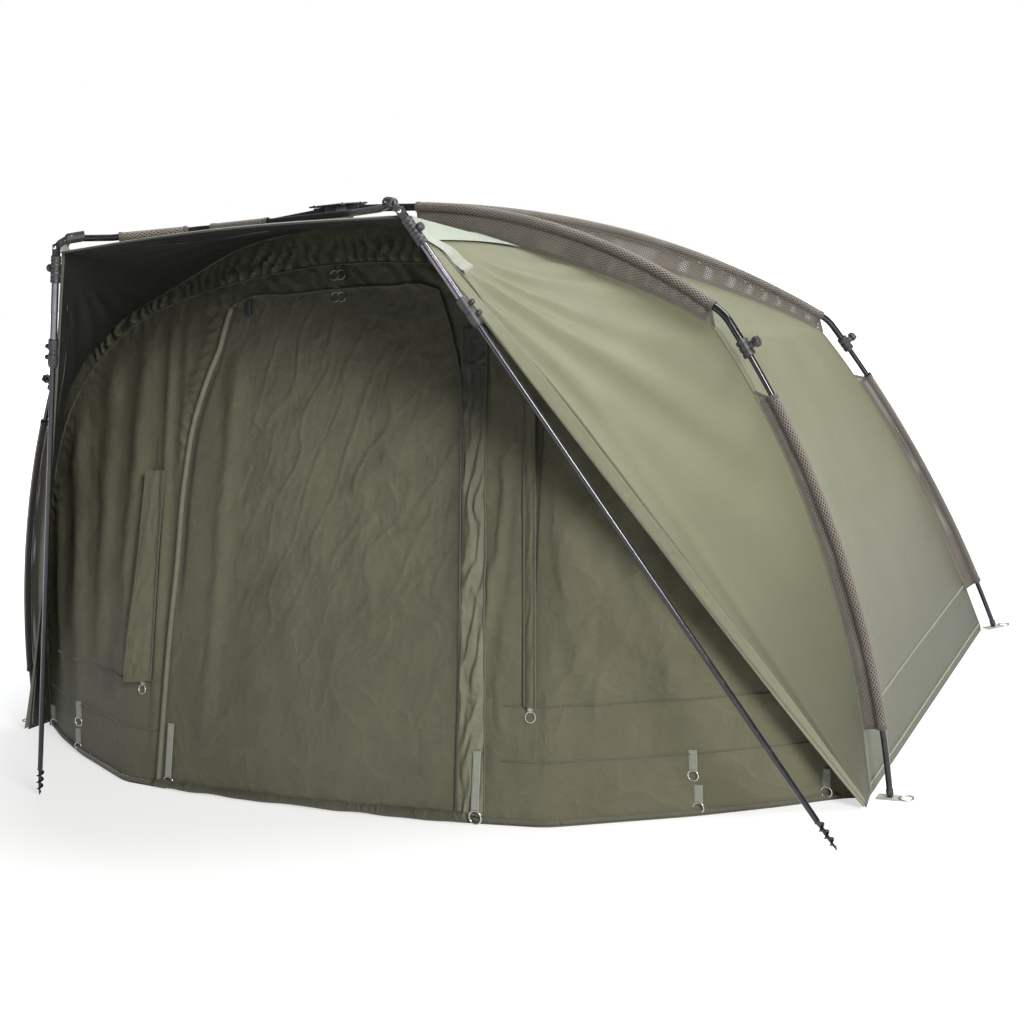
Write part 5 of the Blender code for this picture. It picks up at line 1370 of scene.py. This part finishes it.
def sleeve_ends(rib):
    """Where along a rib the upper sleeve ends and the lower one starts."""
    rows = rib.rows()
    upper_end = rows[UPPER_SLEEVE_STEPS + 1] + UPPER_SLEEVE_LONGER
    return upper_end, rows[-LOWER_SLEEVE_STEPS - 2] + LOWER_SLEEVE_LATER


def rib_sleeves():
    """An upper and a lower netting sleeve on each rib, a little loose over the tube."""
    for rib in RIBS.values():
        rows, (end, start) = rib.rows(), sleeve_ends(rib)
        body = "rib_" + rib.name
        for label, low, high, steps in (("upper", rows[1], end, 90), ("lower", start, rows[-2], 60)):
            along = np.linspace(low, high, steps)
            path, up, across = rib.axes(along)
            loose = 0.0016 * (0.5 + 0.5 * drift(along * 3, along * 0, 4, 1.2, 0.2))
            webs = rib.web(along) - WEB_GAP
            mesh_sleeve(f"{label}_netting_{rib.name}", path + up * loose[:, None] * 0.3, up, across,
                        TUBE_R + NET_GAP, webs, body, f"{label}_sleeve_{rib.name}")


def gussets():
    """Netting triangles from the tube to the seam, beyond the sleeves' ends at the elbow."""
    for rib in RIBS.values():
        end, start = sleeve_ends(rib)
        body = "rib_" + rib.name
        for label, at, reach in (("upper", end, 0.040), ("lower", start, -0.030)):
            share = np.linspace(0, 1, 14)
            path, up, _ = rib.axes(np.full(14, at))
            web = float(rib.web([at])[0])
            near = path - up * (TUBE_R + share[:, None] * (web - TUBE_R))
            along = at + reach * share
            path, up, _ = rib.axes(along)
            tip = path[-1] - up[-1] * (float(rib.web([along[-1]])[0]) - 0.002)
            far = (path[0] - up[0] * TUBE_R) * (1 - share[:, None]) + tip * share[:, None]
            t = np.linspace(0, 1, 8)[None, :, None]
            grid = near[:, None] * (1 - t) + (far[:, None] + rib.across * 0.0002) * t
            made = cloth_piece(f"{label}_gusset_{rib.name}", grid, "net", body,
                               metres_uv(grid), out=rib.across, thick=0.0008)
            as_sheet(made)
            band(f"{label}_gusset_tape_{rib.name}", far, tip - near[0] + rib.out * 0.02, 0.008, 0.003,
                 "net_tape", body)


def seam_ridges():
    """Turned edge along each rib's seam, where the two cloths are sewn to the sleeve."""
    for rib in RIBS.values():
        places = np.linspace(0.55, ROW_COUNT - 1.05, 260)
        line = rib.seam(places)
        path = rib.place(line[:, 0], line[:, 1])
        cord_line("canopy_ridge_" + rib.name, path, 0.0030, "pale_hem", "rib_" + rib.name)


def round_tube(name, path, radius, finish, body, nodes, hint=UP, sides=24, end=0.7):
    """A smooth tube with rounded rims at both ends."""
    _, first, second = path_axes(path, hint)
    size = np.full(len(path), radius, float)
    size[[0, -1]] *= end
    rings = section(path, first, second, round_outline(1.0, sides)[None] * size[:, None, None])
    made = solid(name, rings, finish, body, edge=50)
    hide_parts(*nodes)


def ended(values, trim=0.0012):
    """The same run with a step close to each end, for the rounded rims."""
    return np.concatenate([[values[0]], [values[0] + trim], values[1:-1], [values[-1] - trim], [values[-1]]])


def rib_tubes():
    """The bent tube and the bowed leg of each rib, and the plug in its foot."""
    for rib in RIBS.values():
        along = ended(np.concatenate([
            np.linspace(-TUBE_PAST_PIN, rib.arc_end, 60), np.linspace(rib.arc_end, rib.leg_from, 14)[1:],
            np.linspace(rib.leg_from, rib.socket_at, 8)[1:],
        ]))
        path = rib.axes(along)[0]
        round_tube("bent_tube_" + rib.name, path, TUBE_R, "tube", "rib_" + rib.name,
                   ["upper_tube_" + rib.name], hint=rib.across)
        along = ended(np.linspace(rib.socket_at - LEG_HIDDEN, rib.foot_at, 50), 0.004)
        path = rib.axes(along)[0]
        round_tube("bowed_leg_" + rib.name, path, LEG_R, "tube", "leg_" + rib.name,
                   ["leg_tube_" + rib.name], hint=rib.across, end=FOOT_END_SHARE)
        centre = rib.axes([rib.foot_at - 0.018, rib.foot_at - 0.001])[0]
        plug = centre[0], unit(centre[1] - centre[0])
        turned("foot_plug_" + rib.name, ((0.0, 0.0078), (0.001, 0.0084), (0.012, 0.0084), (0.0155, 0.0062)),
               plug[0], plug[1], rib.across, "moulding", "leg_" + rib.name, edge=40)


def elbow_clamps():
    """Grooved collar past each elbow, with its boss and thumb knob."""
    for rib in RIBS.values():
        end = rib.socket_at + CLAMP_PAST_SOCKET
        start = end - CLAMP_LENGTH
        path, normal, _ = rib.axes([start, (start + end) / 2, end])
        way = unit(path[2] - path[0])
        neck = CLAMP_R * 0.86
        profile = [(0, neck), (0.0015, CLAMP_R), (0.010, CLAMP_R), (0.0112, neck), (0.0148, neck),
                   (0.016, CLAMP_R), (0.026, CLAMP_R), (0.0272, neck), (0.0308, neck), (0.032, CLAMP_R),
                   (0.0405, CLAMP_R), (0.042, neck)]
        made = turned("elbow_collar_" + rib.name, profile, path[0], way, normal[1], "moulding",
                      "rib_" + rib.name, sides=36)
        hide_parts("clamp_" + rib.name)
        low, top = TUBE_R, CLAMP_R + BOSS_HEIGHT
        profile = [(low, BOSS_R), (top - 0.002, BOSS_R), (top, BOSS_R * 0.85)]
        turned("collar_boss_" + rib.name, profile, path[1], normal[1], way, "moulding", "rib_" + rib.name)
        base = path[1] + normal[1] * (top + FLOOR_GAP)
        lobed_knob("wing_knob_" + rib.name, base, normal[1], way, "knob_" + rib.name)


def lobed_knob(name, base, axis, hint, body):
    """Thumb knob: its radius swells with the cosine of five times the turn, and its rims are eased."""
    sides = 60
    turn = np.arange(sides) * 2 * math.pi / sides
    lobes = KNOB_R - 0.0026 * (1 - np.cos(turn * KNOB_LOBES)) / 2
    along = np.array([0.0, 0.06, 0.2, 0.5, 0.8, 0.94, 1.0, 1.0])
    share = np.array([0.78, 0.92, 1.0, 1.0, 1.0, 0.93, 0.82, 0.5])
    axis, hint = unit(axis), unit(hint)
    first, second = hint, np.cross(axis, hint)
    path = np.asarray(base) + axis * KNOB_HEIGHT * along[:, None]
    outline = np.stack([np.cos(turn), np.sin(turn)], -1) * lobes[:, None]
    rings = section(path, np.broadcast_to(first, path.shape), np.broadcast_to(second, path.shape),
                    outline[None] * share[:, None, None])
    made = solid(name, rings, "moulding", body, edge=45)
    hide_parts(body)


def foot_straps():
    """Webbing under each foot, with its pegging ring on the ground."""
    for rib in RIBS.values():
        body = "leg_" + rib.name
        r = np.linspace(rib.foot_r - STRAP_BACK, rib.foot_r + STRAP_OUT, 16)
        path = rib.place(r, np.full(16, STRAP_THICK / 2 + 0.0001))
        made = band("foot_webbing_" + rib.name, path, rib.across, STRAP_WIDE, STRAP_THICK - 0.0002,
                    "webbing", body)
        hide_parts("foot_strap_" + rib.name)
        centre = rib.place(rib.foot_r + STRAP_OUT + RING_R * 0.55, RING_WIRE)
        ring_of_wire("peg_ring_" + rib.name, centre, rib.out, rib.across, RING_R, RING_WIRE, "steel",
                     body)


def door_tabs():
    """Webbing tab beside each foot of the door, with its pegging ring on the ground."""
    for side, _ in SIDES:
        low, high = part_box("door_tab_" + side)
        x = (low[0] + high[0]) / 2
        heights = np.linspace(high[2], 2 * RING_R, 14)
        path = wall_surface(x + 0 * heights, heights, lift=DOOR_TAB_LIFTS[side])
        made = band("door_webbing_" + side, path, ACROSS, TAB_WIDE, TAB_THICK, "webbing", "shelter")
        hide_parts("door_tab_" + side)
        centre = np.array([x, path[-1, 1], RING_R + RING_WIRE])
        ring_of_wire("door_ring_" + side, centre, ACROSS, UP, RING_R, RING_WIRE, "steel", "shelter")


def bar_ends(turn):
    """Where the brow bar ends in its bracket."""
    return np.array([turn * (PIVOT[0] - BAR_END_IN), PIVOT[1] + BAR_END_BACK, PIVOT[2] + BAR_END_UP])


def roof_height(x, y):
    """Height of the roof at a point of the ground, from the nearest rows of its surface."""
    shares, rows = np.linspace(-1, 1, 81), np.linspace(0, 1, 81)
    grid = roof_surface(shares, rows)
    level = np.array([np.interp(-y, -grid[:, k, 1], grid[:, k, 2]) for k in range(len(shares))])
    across = np.array([np.interp(-y, -grid[:, k, 1], grid[:, k, 0]) for k in range(len(shares))])
    return float(np.interp(x, across, level))


def bar_path():
    """Middle line of the brow bar: straight runs joined by parabolas at its four bends."""
    middle = roof_height(0.0, -BAR_MID_Y) + BAR_MID_OVER_ROOF
    rise = roof_height(BAR_RISE_X, -BAR_RISE_Y) + BAR_RISE_OVER_ROOF
    right = [
        np.array([BAR_MID_HALF, -BAR_MID_Y, middle]), np.array([BAR_RISE_X, -BAR_RISE_Y, rise]), bar_ends(1),
    ]
    route = [p * [-1, 1, 1] for p in right[::-1]] + right
    out = [route[0][None]]
    t = np.linspace(0, 1, 14)[:, None]
    for before, here, after in zip(route, route[1:], route[2:]):
        one, two = unit(before - here), unit(after - here)
        angle = math.acos(float(np.clip(one @ two, -1, 1)))
        cut = min(BAR_BEND_R / math.tan(angle / 2), np.linalg.norm(before - here) * 0.45,
                  np.linalg.norm(after - here) * 0.45)
        start, end = here + one * cut, here + two * cut
        out.append(start * (1 - t) ** 2 + here * 2 * t * (1 - t) + end * t**2)
    out.append(route[-1][None])
    return np.concatenate(out)


def brow_bar():
    """The bent bar over the brow, with its two short netting sleeves."""
    path = bar_path()
    far = gone(path)
    fine = ended(np.linspace(0, far[-1], 110))
    path = np.stack([np.interp(fine, far, path[:, k]) for k in range(3)], -1)
    round_tube("bent_brow_bar", path, BAR_R, "tube", "shelter", ["brow_bar"])
    for label, low, high in (("middle", -0.190, -0.030), ("side", -0.370, -0.250)):
        x = np.linspace(low, high, 24)
        line = np.stack([x, np.interp(x, path[:, 0], path[:, 1]), np.interp(x, path[:, 0], path[:, 2])], -1)
        _, up, across = path_axes(line, UP)
        webs = np.array([p[2] - roof_height(p[0], p[1]) for p in line]) - WEB_GAP
        mesh_sleeve("brow_netting_" + label, line, up, across, BAR_R + NET_GAP, webs, "shelter",
                    "brow_sleeve_" + label)


def pole_axes(side, turn):
    """A storm pole's pivot, its way down, its hinge's way forward and its length."""
    pivot = np.array([turn * PIVOT[0], PIVOT[1], PIVOT[2]])
    run = np.array(POLE_TIPS[side]) - pivot
    along = unit(run)
    forward = np.array(FORWARD, float)
    hinge = unit(forward - along * (along @ forward))
    return pivot, along, hinge, float(np.linalg.norm(run))


def storm_poles():
    """Grip, outer tube, lock with two knobs, thumb screw, and the sliding tube with its screw tip."""
    right_length = pole_axes("right", 1)[3]
    for side, turn in SIDES:
        pivot, along, hinge, length = pole_axes(side, turn)
        body = "pole_" + side
        way = -np.cross(along, hinge) * turn
        ridge = (GRIP_TO - GRIP_FROM) / GRIP_RIDGES
        profile = [(GRIP_FROM - 0.001, GRIP_R * 0.7)]
        for k in range(GRIP_RIDGES):
            radius = GRIP_R if k % 2 == 0 else GRIP_R * 0.93
            profile += [(GRIP_FROM + ridge * (k + 0.2), radius), (GRIP_FROM + ridge * (k + 0.8), radius)]
        profile.append((GRIP_TO, GRIP_R * 0.8))
        turned("pole_grip_" + side, profile, pivot, along, hinge, "moulding", body)
        path = pivot + along * ended(np.linspace(POLE_TUBE_FROM, POLE_TUBE_TO, 12))[:, None]
        round_tube("upper_pole_" + side, path, POLE_R, "pole_top", body,
                   ["pole_outer_" + side], hint=hinge)
        rim = LOCK_R * 0.88
        profile = [(LOCK_FROM, POLE_R), (LOCK_FROM, rim), (LOCK_FROM + 0.002, LOCK_R),
                   (LOCK_FROM + 0.026, LOCK_R), (LOCK_FROM + 0.028, rim), (LOCK_FROM + 0.036, rim),
                   (LOCK_FROM + 0.038, LOCK_R), (LOCK_TO - 0.010, LOCK_R), (LOCK_TO, rim * 0.9),
                   (LOCK_TO, POLE_INNER_R)]
        made = turned("lock_collar_" + side, profile, pivot, along, hinge, "moulding", body,
                      sides=36)
        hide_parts("pole_lock_" + side)
        for k, share in enumerate((0.3, 0.68)):
            centre = pivot + along * (LOCK_FROM + (LOCK_TO - LOCK_FROM) * share)
            profile = [(LOCK_R - 0.003, 0.0040), (LOCK_R + 0.001, 0.0042), (LOCK_R + 0.002, 0.0058),
                       (LOCK_R + 0.009, 0.0060), (LOCK_R + 0.0105, 0.0045)]
            turned(f"lock_knob_{k}_{side}", profile, centre, way, along, "moulding", body)
        centre = pivot + along * (GRIP_FROM + SCREW_ALONG)
        profile = [(GRIP_R + 0.0003, SCREW_R * 0.6), (GRIP_R + 0.0015, SCREW_R * 0.9),
                   (GRIP_R + 0.003, SCREW_R), (GRIP_R + SCREW_HEIGHT * 0.8, SCREW_R),
                   (GRIP_R + SCREW_HEIGHT, SCREW_R * 0.8)]
        made = turned("screw_head_" + side, profile, centre, way, along, "moulding",
                      "thumb_screw_" + side, sides=24)
        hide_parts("thumb_screw_" + side)
        sliding_pole(side, pivot, along, hinge, length, length - (right_length - 0.232))


def sliding_pole(side, pivot, along, hinge, length, top):
    """Inner tube whose tip tapers to a core with a ridge that climbs round it as a screw."""
    neck = length - AUGER_LENGTH
    sides = 32
    turn = np.arange(sides) * 2 * math.pi / sides
    plain = ended(np.linspace(top, neck - POLE_R, 12))
    share = np.linspace(0, 1, 130)
    phase = turn[None] - share[:, None] * AUGER_TURNS * 2 * math.pi
    thread = np.clip(np.cos(phase), 0, 1) ** 3
    core = AUGER_CORE_R * (1 - 0.75 * share**3)
    lift = np.minimum(1.0, share * 6)
    height = (AUGER_R - AUGER_CORE_R) * np.minimum(1, (1 - share) * 4) * np.minimum(1, share * 8)
    size = (POLE_INNER_R * (1 - lift) + core * lift)[:, None] + height[:, None] * thread
    size = np.concatenate([np.full((len(plain), sides), POLE_INNER_R), size])
    size[0] *= 0.75
    places = np.concatenate([plain, neck + AUGER_LENGTH * share])
    outline = np.stack([np.cos(turn), np.sin(turn)], -1)[None] * size[..., None]
    path = pivot + along * places[:, None]
    second = np.cross(along, hinge)
    rings = section(path, np.broadcast_to(hinge, path.shape), np.broadcast_to(second, path.shape), outline)
    rings = rings - along * (rings[..., 2].min() / along[2])
    made = solid("sliding_pole_" + side, rings, "tube", "pole_inner_" + side, edge=50)
    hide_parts("pole_inner_" + side)


def hub_plates():
    """A plate with rounded corners over the rib ends, and five domed rivets."""
    low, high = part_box("hub_cap")
    centre = (np.array(low) + np.array(high)) / 2 - [0, SET_BACK, 0]
    half = (np.array(high) - np.array(low)) / 2 * [HUB_PLATE_SHARE, 1, 1]
    turn = np.arange(64) * 2 * math.pi / 64
    c, s = np.cos(turn), np.sin(turn)
    outline = np.stack([np.sign(v) * np.abs(v) ** 0.45 * h for v, h in ((c, half[0]), (s, half[1]))], -1)
    drop = np.array([-1.0, -0.7, 0.6, 1.0]) * half[2]
    size = np.array([0.985, 1.0, 1.0, 0.985])
    path = centre + np.stack([0 * drop, 0 * drop, drop], -1)
    ones = np.ones((4, 1))
    rings = section(path, ones * [1.0, 0, 0], ones * [0, 1.0, 0], outline[None] * size[:, None, None])
    made = solid("hub_plate", rings, "moulding", "shelter", edge=40)
    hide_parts("hub_cap")
    spots = [(x, y) for x in (-0.043, 0.043) for y in (-0.04, 0.04)] + [(0.0, 0.0)]
    for k, (x, y) in enumerate(spots):
        base = centre + [x, y, half[2] - 0.0006]
        turned(f"hub_rivet_{k}", [(0, 0.0062), (0.0012, 0.0060), (0.0024, 0.0048), (0.0030, 0.0028)], base,
               (0, 0, 1), (1, 0, 0), "steel", "shelter", edge=60)


def bracket_trim():
    """Domed pin heads at the storm poles' hinges and the webbing that ties the brow's corners."""
    for side, turn in SIDES:
        pivot, along, hinge, _ = pole_axes(side, turn)
        for k, way in enumerate((-1, 1)):
            turned(f"hinge_rivet_{k}_{side}", [(0.0055, 0.0052), (0.0072, 0.0050), (0.0086, 0.0030)], pivot,
                   hinge * way, along, "steel", "pole_" + side, edge=60)
        t = np.linspace(0, 1, 14)
        corner = brow_edge(turn * 0.985)
        bar = bar_ends(turn) + [-turn * 0.012, 0.004, 0.004]
        sag = np.sin(math.pi * t)[:, None] * [turn * 0.012, -0.004, 0.0]
        path = corner * (1 - t[:, None]) + bar * t[:, None] + sag
        band("corner_tie_" + side, path, (0.2, 1, 0), 0.024, 0.002, "webbing", "shelter")


def dress_kept_nodes():
    """Finishes for the solid model's own pieces that stay in view."""
    choices = {
        "hub_base": "moulding", "brow_bracket": "moulding", "pole_head": "moulding",
        "zip_slider": "ring_steel", "zip_ring": "ring_steel",
    }
    for name, item in frame["nodes"].items():
        for start, what in choices.items():
            if name.startswith(start) and not item.hide_render:
                item.data.materials.clear()
                item.data.materials.append(FINISHES[what])


# ---------------------------------------------------------------------------
# Camera, floor and light
# ---------------------------------------------------------------------------
def set_camera():
    """Turns of the fit: azimuth from +Y towards -X, pitch above the horizon, then roll."""
    az, pitch, roll = CAMERA_AZIMUTH, CAMERA_PITCH, CAMERA_ROLL
    ahead = np.array([-math.sin(az) * math.cos(pitch), math.cos(az) * math.cos(pitch), math.sin(pitch)])
    right = np.array([math.cos(az), math.sin(az), 0.0])
    up = np.cross(right, ahead)
    right, up = (
        math.cos(roll) * right + math.sin(roll) * up, -math.sin(roll) * right + math.cos(roll) * up,
    )
    lens = bpy.data.cameras.new("camera")
    lens.sensor_width, lens.sensor_fit = SENSOR_MM, "HORIZONTAL"
    lens.lens = CAMERA_PIXELS / FRAME_PIXELS * SENSOR_MM
    lens.clip_end = 60.0
    camera = bpy.data.objects.new("camera", lens)
    turn = np.eye(4)
    turn[:3, 0], turn[:3, 1], turn[:3, 2] = right, up, -ahead
    turn[:3, 3] = np.array(CAMERA_AT) + [0, SET_BACK, 0]
    camera.matrix_world = Matrix(turn.tolist())
    bpy.context.scene.collection.objects.link(camera)
    bpy.context.scene.camera = camera


def seen_directly(tree):
    """1 for rays from the camera, from mirrors and through glass, else 0."""
    path = tree.nodes.new("ShaderNodeLightPath")
    direct = sums(tree, "MAXIMUM", path.outputs["Is Camera Ray"], path.outputs["Is Glossy Ray"])
    return sums(tree, "MAXIMUM", direct, path.outputs["Is Transmission Ray"])


def set_floor():
    """A pale floor that adds white for direct rays, so that only the shadow shows."""
    size = 40.0
    mesh = bpy.data.meshes.new("floor")
    corners = [(-size, -size, 0), (size, -size, 0), (size, size, 0), (-size, size, 0)]
    mesh.from_pydata(corners, [], [(0, 1, 2, 3)])
    floor = bpy.data.objects.new("floor", mesh)
    floor.location.z = -0.0005
    bpy.context.scene.collection.objects.link(floor)
    made, tree, shader, place = start_finish("pale_floor", 0.9)
    shader.inputs["Base Color"].default_value = (0.45, 0.45, 0.445, 1.0)
    shader.inputs["Specular IOR Level"].default_value = 0.0
    shader.inputs["Emission Color"].default_value = (1.0, 1.0, 1.0, 1.0)
    far = node(tree, "ShaderNodeVectorMath", (), {0: place.outputs["Object"]}, operation="LENGTH")
    far = far.outputs["Value"]
    lift = sums(tree, "ADD", sums(tree, "MULTIPLY", sums(tree, "SUBTRACT", far, 1.3), 0.30, True), 0.60)
    tree.links.new(sums(tree, "MULTIPLY", seen_directly(tree), lift), shader.inputs["Emission Strength"])
    mesh.materials.append(made)


def set_world():
    """White to direct rays, and a soft cool light to everything else."""
    world = bpy.data.worlds.new("studio")
    world.use_nodes = True
    tree = world.node_tree
    tree.nodes.clear()
    soft = node(tree, "ShaderNodeBackground", {"Color": (0.93, 0.96, 1.0, 1.0), "Strength": 0.24})
    white = node(tree, "ShaderNodeBackground", {"Color": (1.0, 1.0, 1.0, 1.0), "Strength": 1.0})
    path = tree.nodes.new("ShaderNodeLightPath")
    direct = sums(tree, "MAXIMUM", path.outputs["Is Camera Ray"], path.outputs["Is Transmission Ray"])
    mix = node(tree, "ShaderNodeMixShader", (), {0: direct, 1: soft.outputs[0], 2: white.outputs[0]})
    leave = tree.nodes.new("ShaderNodeOutputWorld")
    tree.links.new(mix.outputs[0], leave.inputs[0])
    bpy.context.scene.world = world


def lamp(name, place, aim, size, watts, colour):
    """A square lamp at a place, aimed at a point."""
    light = bpy.data.lights.new(name, "AREA")
    light.shape, light.size, light.size_y, light.energy, light.color = "RECTANGLE", size, size, watts, colour
    made = bpy.data.objects.new(name, light)
    back = unit(np.array(place, float) - np.array(aim, float))
    right = unit(np.cross([0.0, 0.0, 1.0], back))
    turn = np.eye(4)
    turn[:3, 0], turn[:3, 1], turn[:3, 2], turn[:3, 3] = right, np.cross(back, right), back, place
    made.matrix_world = Matrix(turn.tolist())
    bpy.context.scene.collection.objects.link(made)


def set_lights():
    """The world, and three lamps above and to the right of the camera."""
    set_world()
    lamp("sky_panel", (3.4, 0.8, 5.0), (0.4, 0.2, 0.5), 2.2, 235.0, (1.0, 0.99, 0.96))
    lamp("top_panel", (0.3, 1.2, 5.2), (0.0, 0.2, 0.4), 3.0, 150.0, (0.96, 0.98, 1.0))
    lamp("front_panel", (5.2, -4.0, 3.0), (0.0, -0.4, 0.5), 1.8, 420.0, (1.0, 0.98, 0.95))


def main():
    set_camera()
    make_finishes()
    side_and_rear_panels()
    roof()
    wings()
    front_wall()
    door()
    wall_trim()
    ring_tabs()
    seam_ridges()
    rib_sleeves()
    gussets()
    rib_tubes()
    elbow_clamps()
    foot_straps()
    door_tabs()
    brow_bar()
    storm_poles()
    hub_plates()
    bracket_trim()
    dress_kept_nodes()
    set_floor()
    set_lights()
    bpy.context.scene.view_settings.view_transform = "Standard"


main()
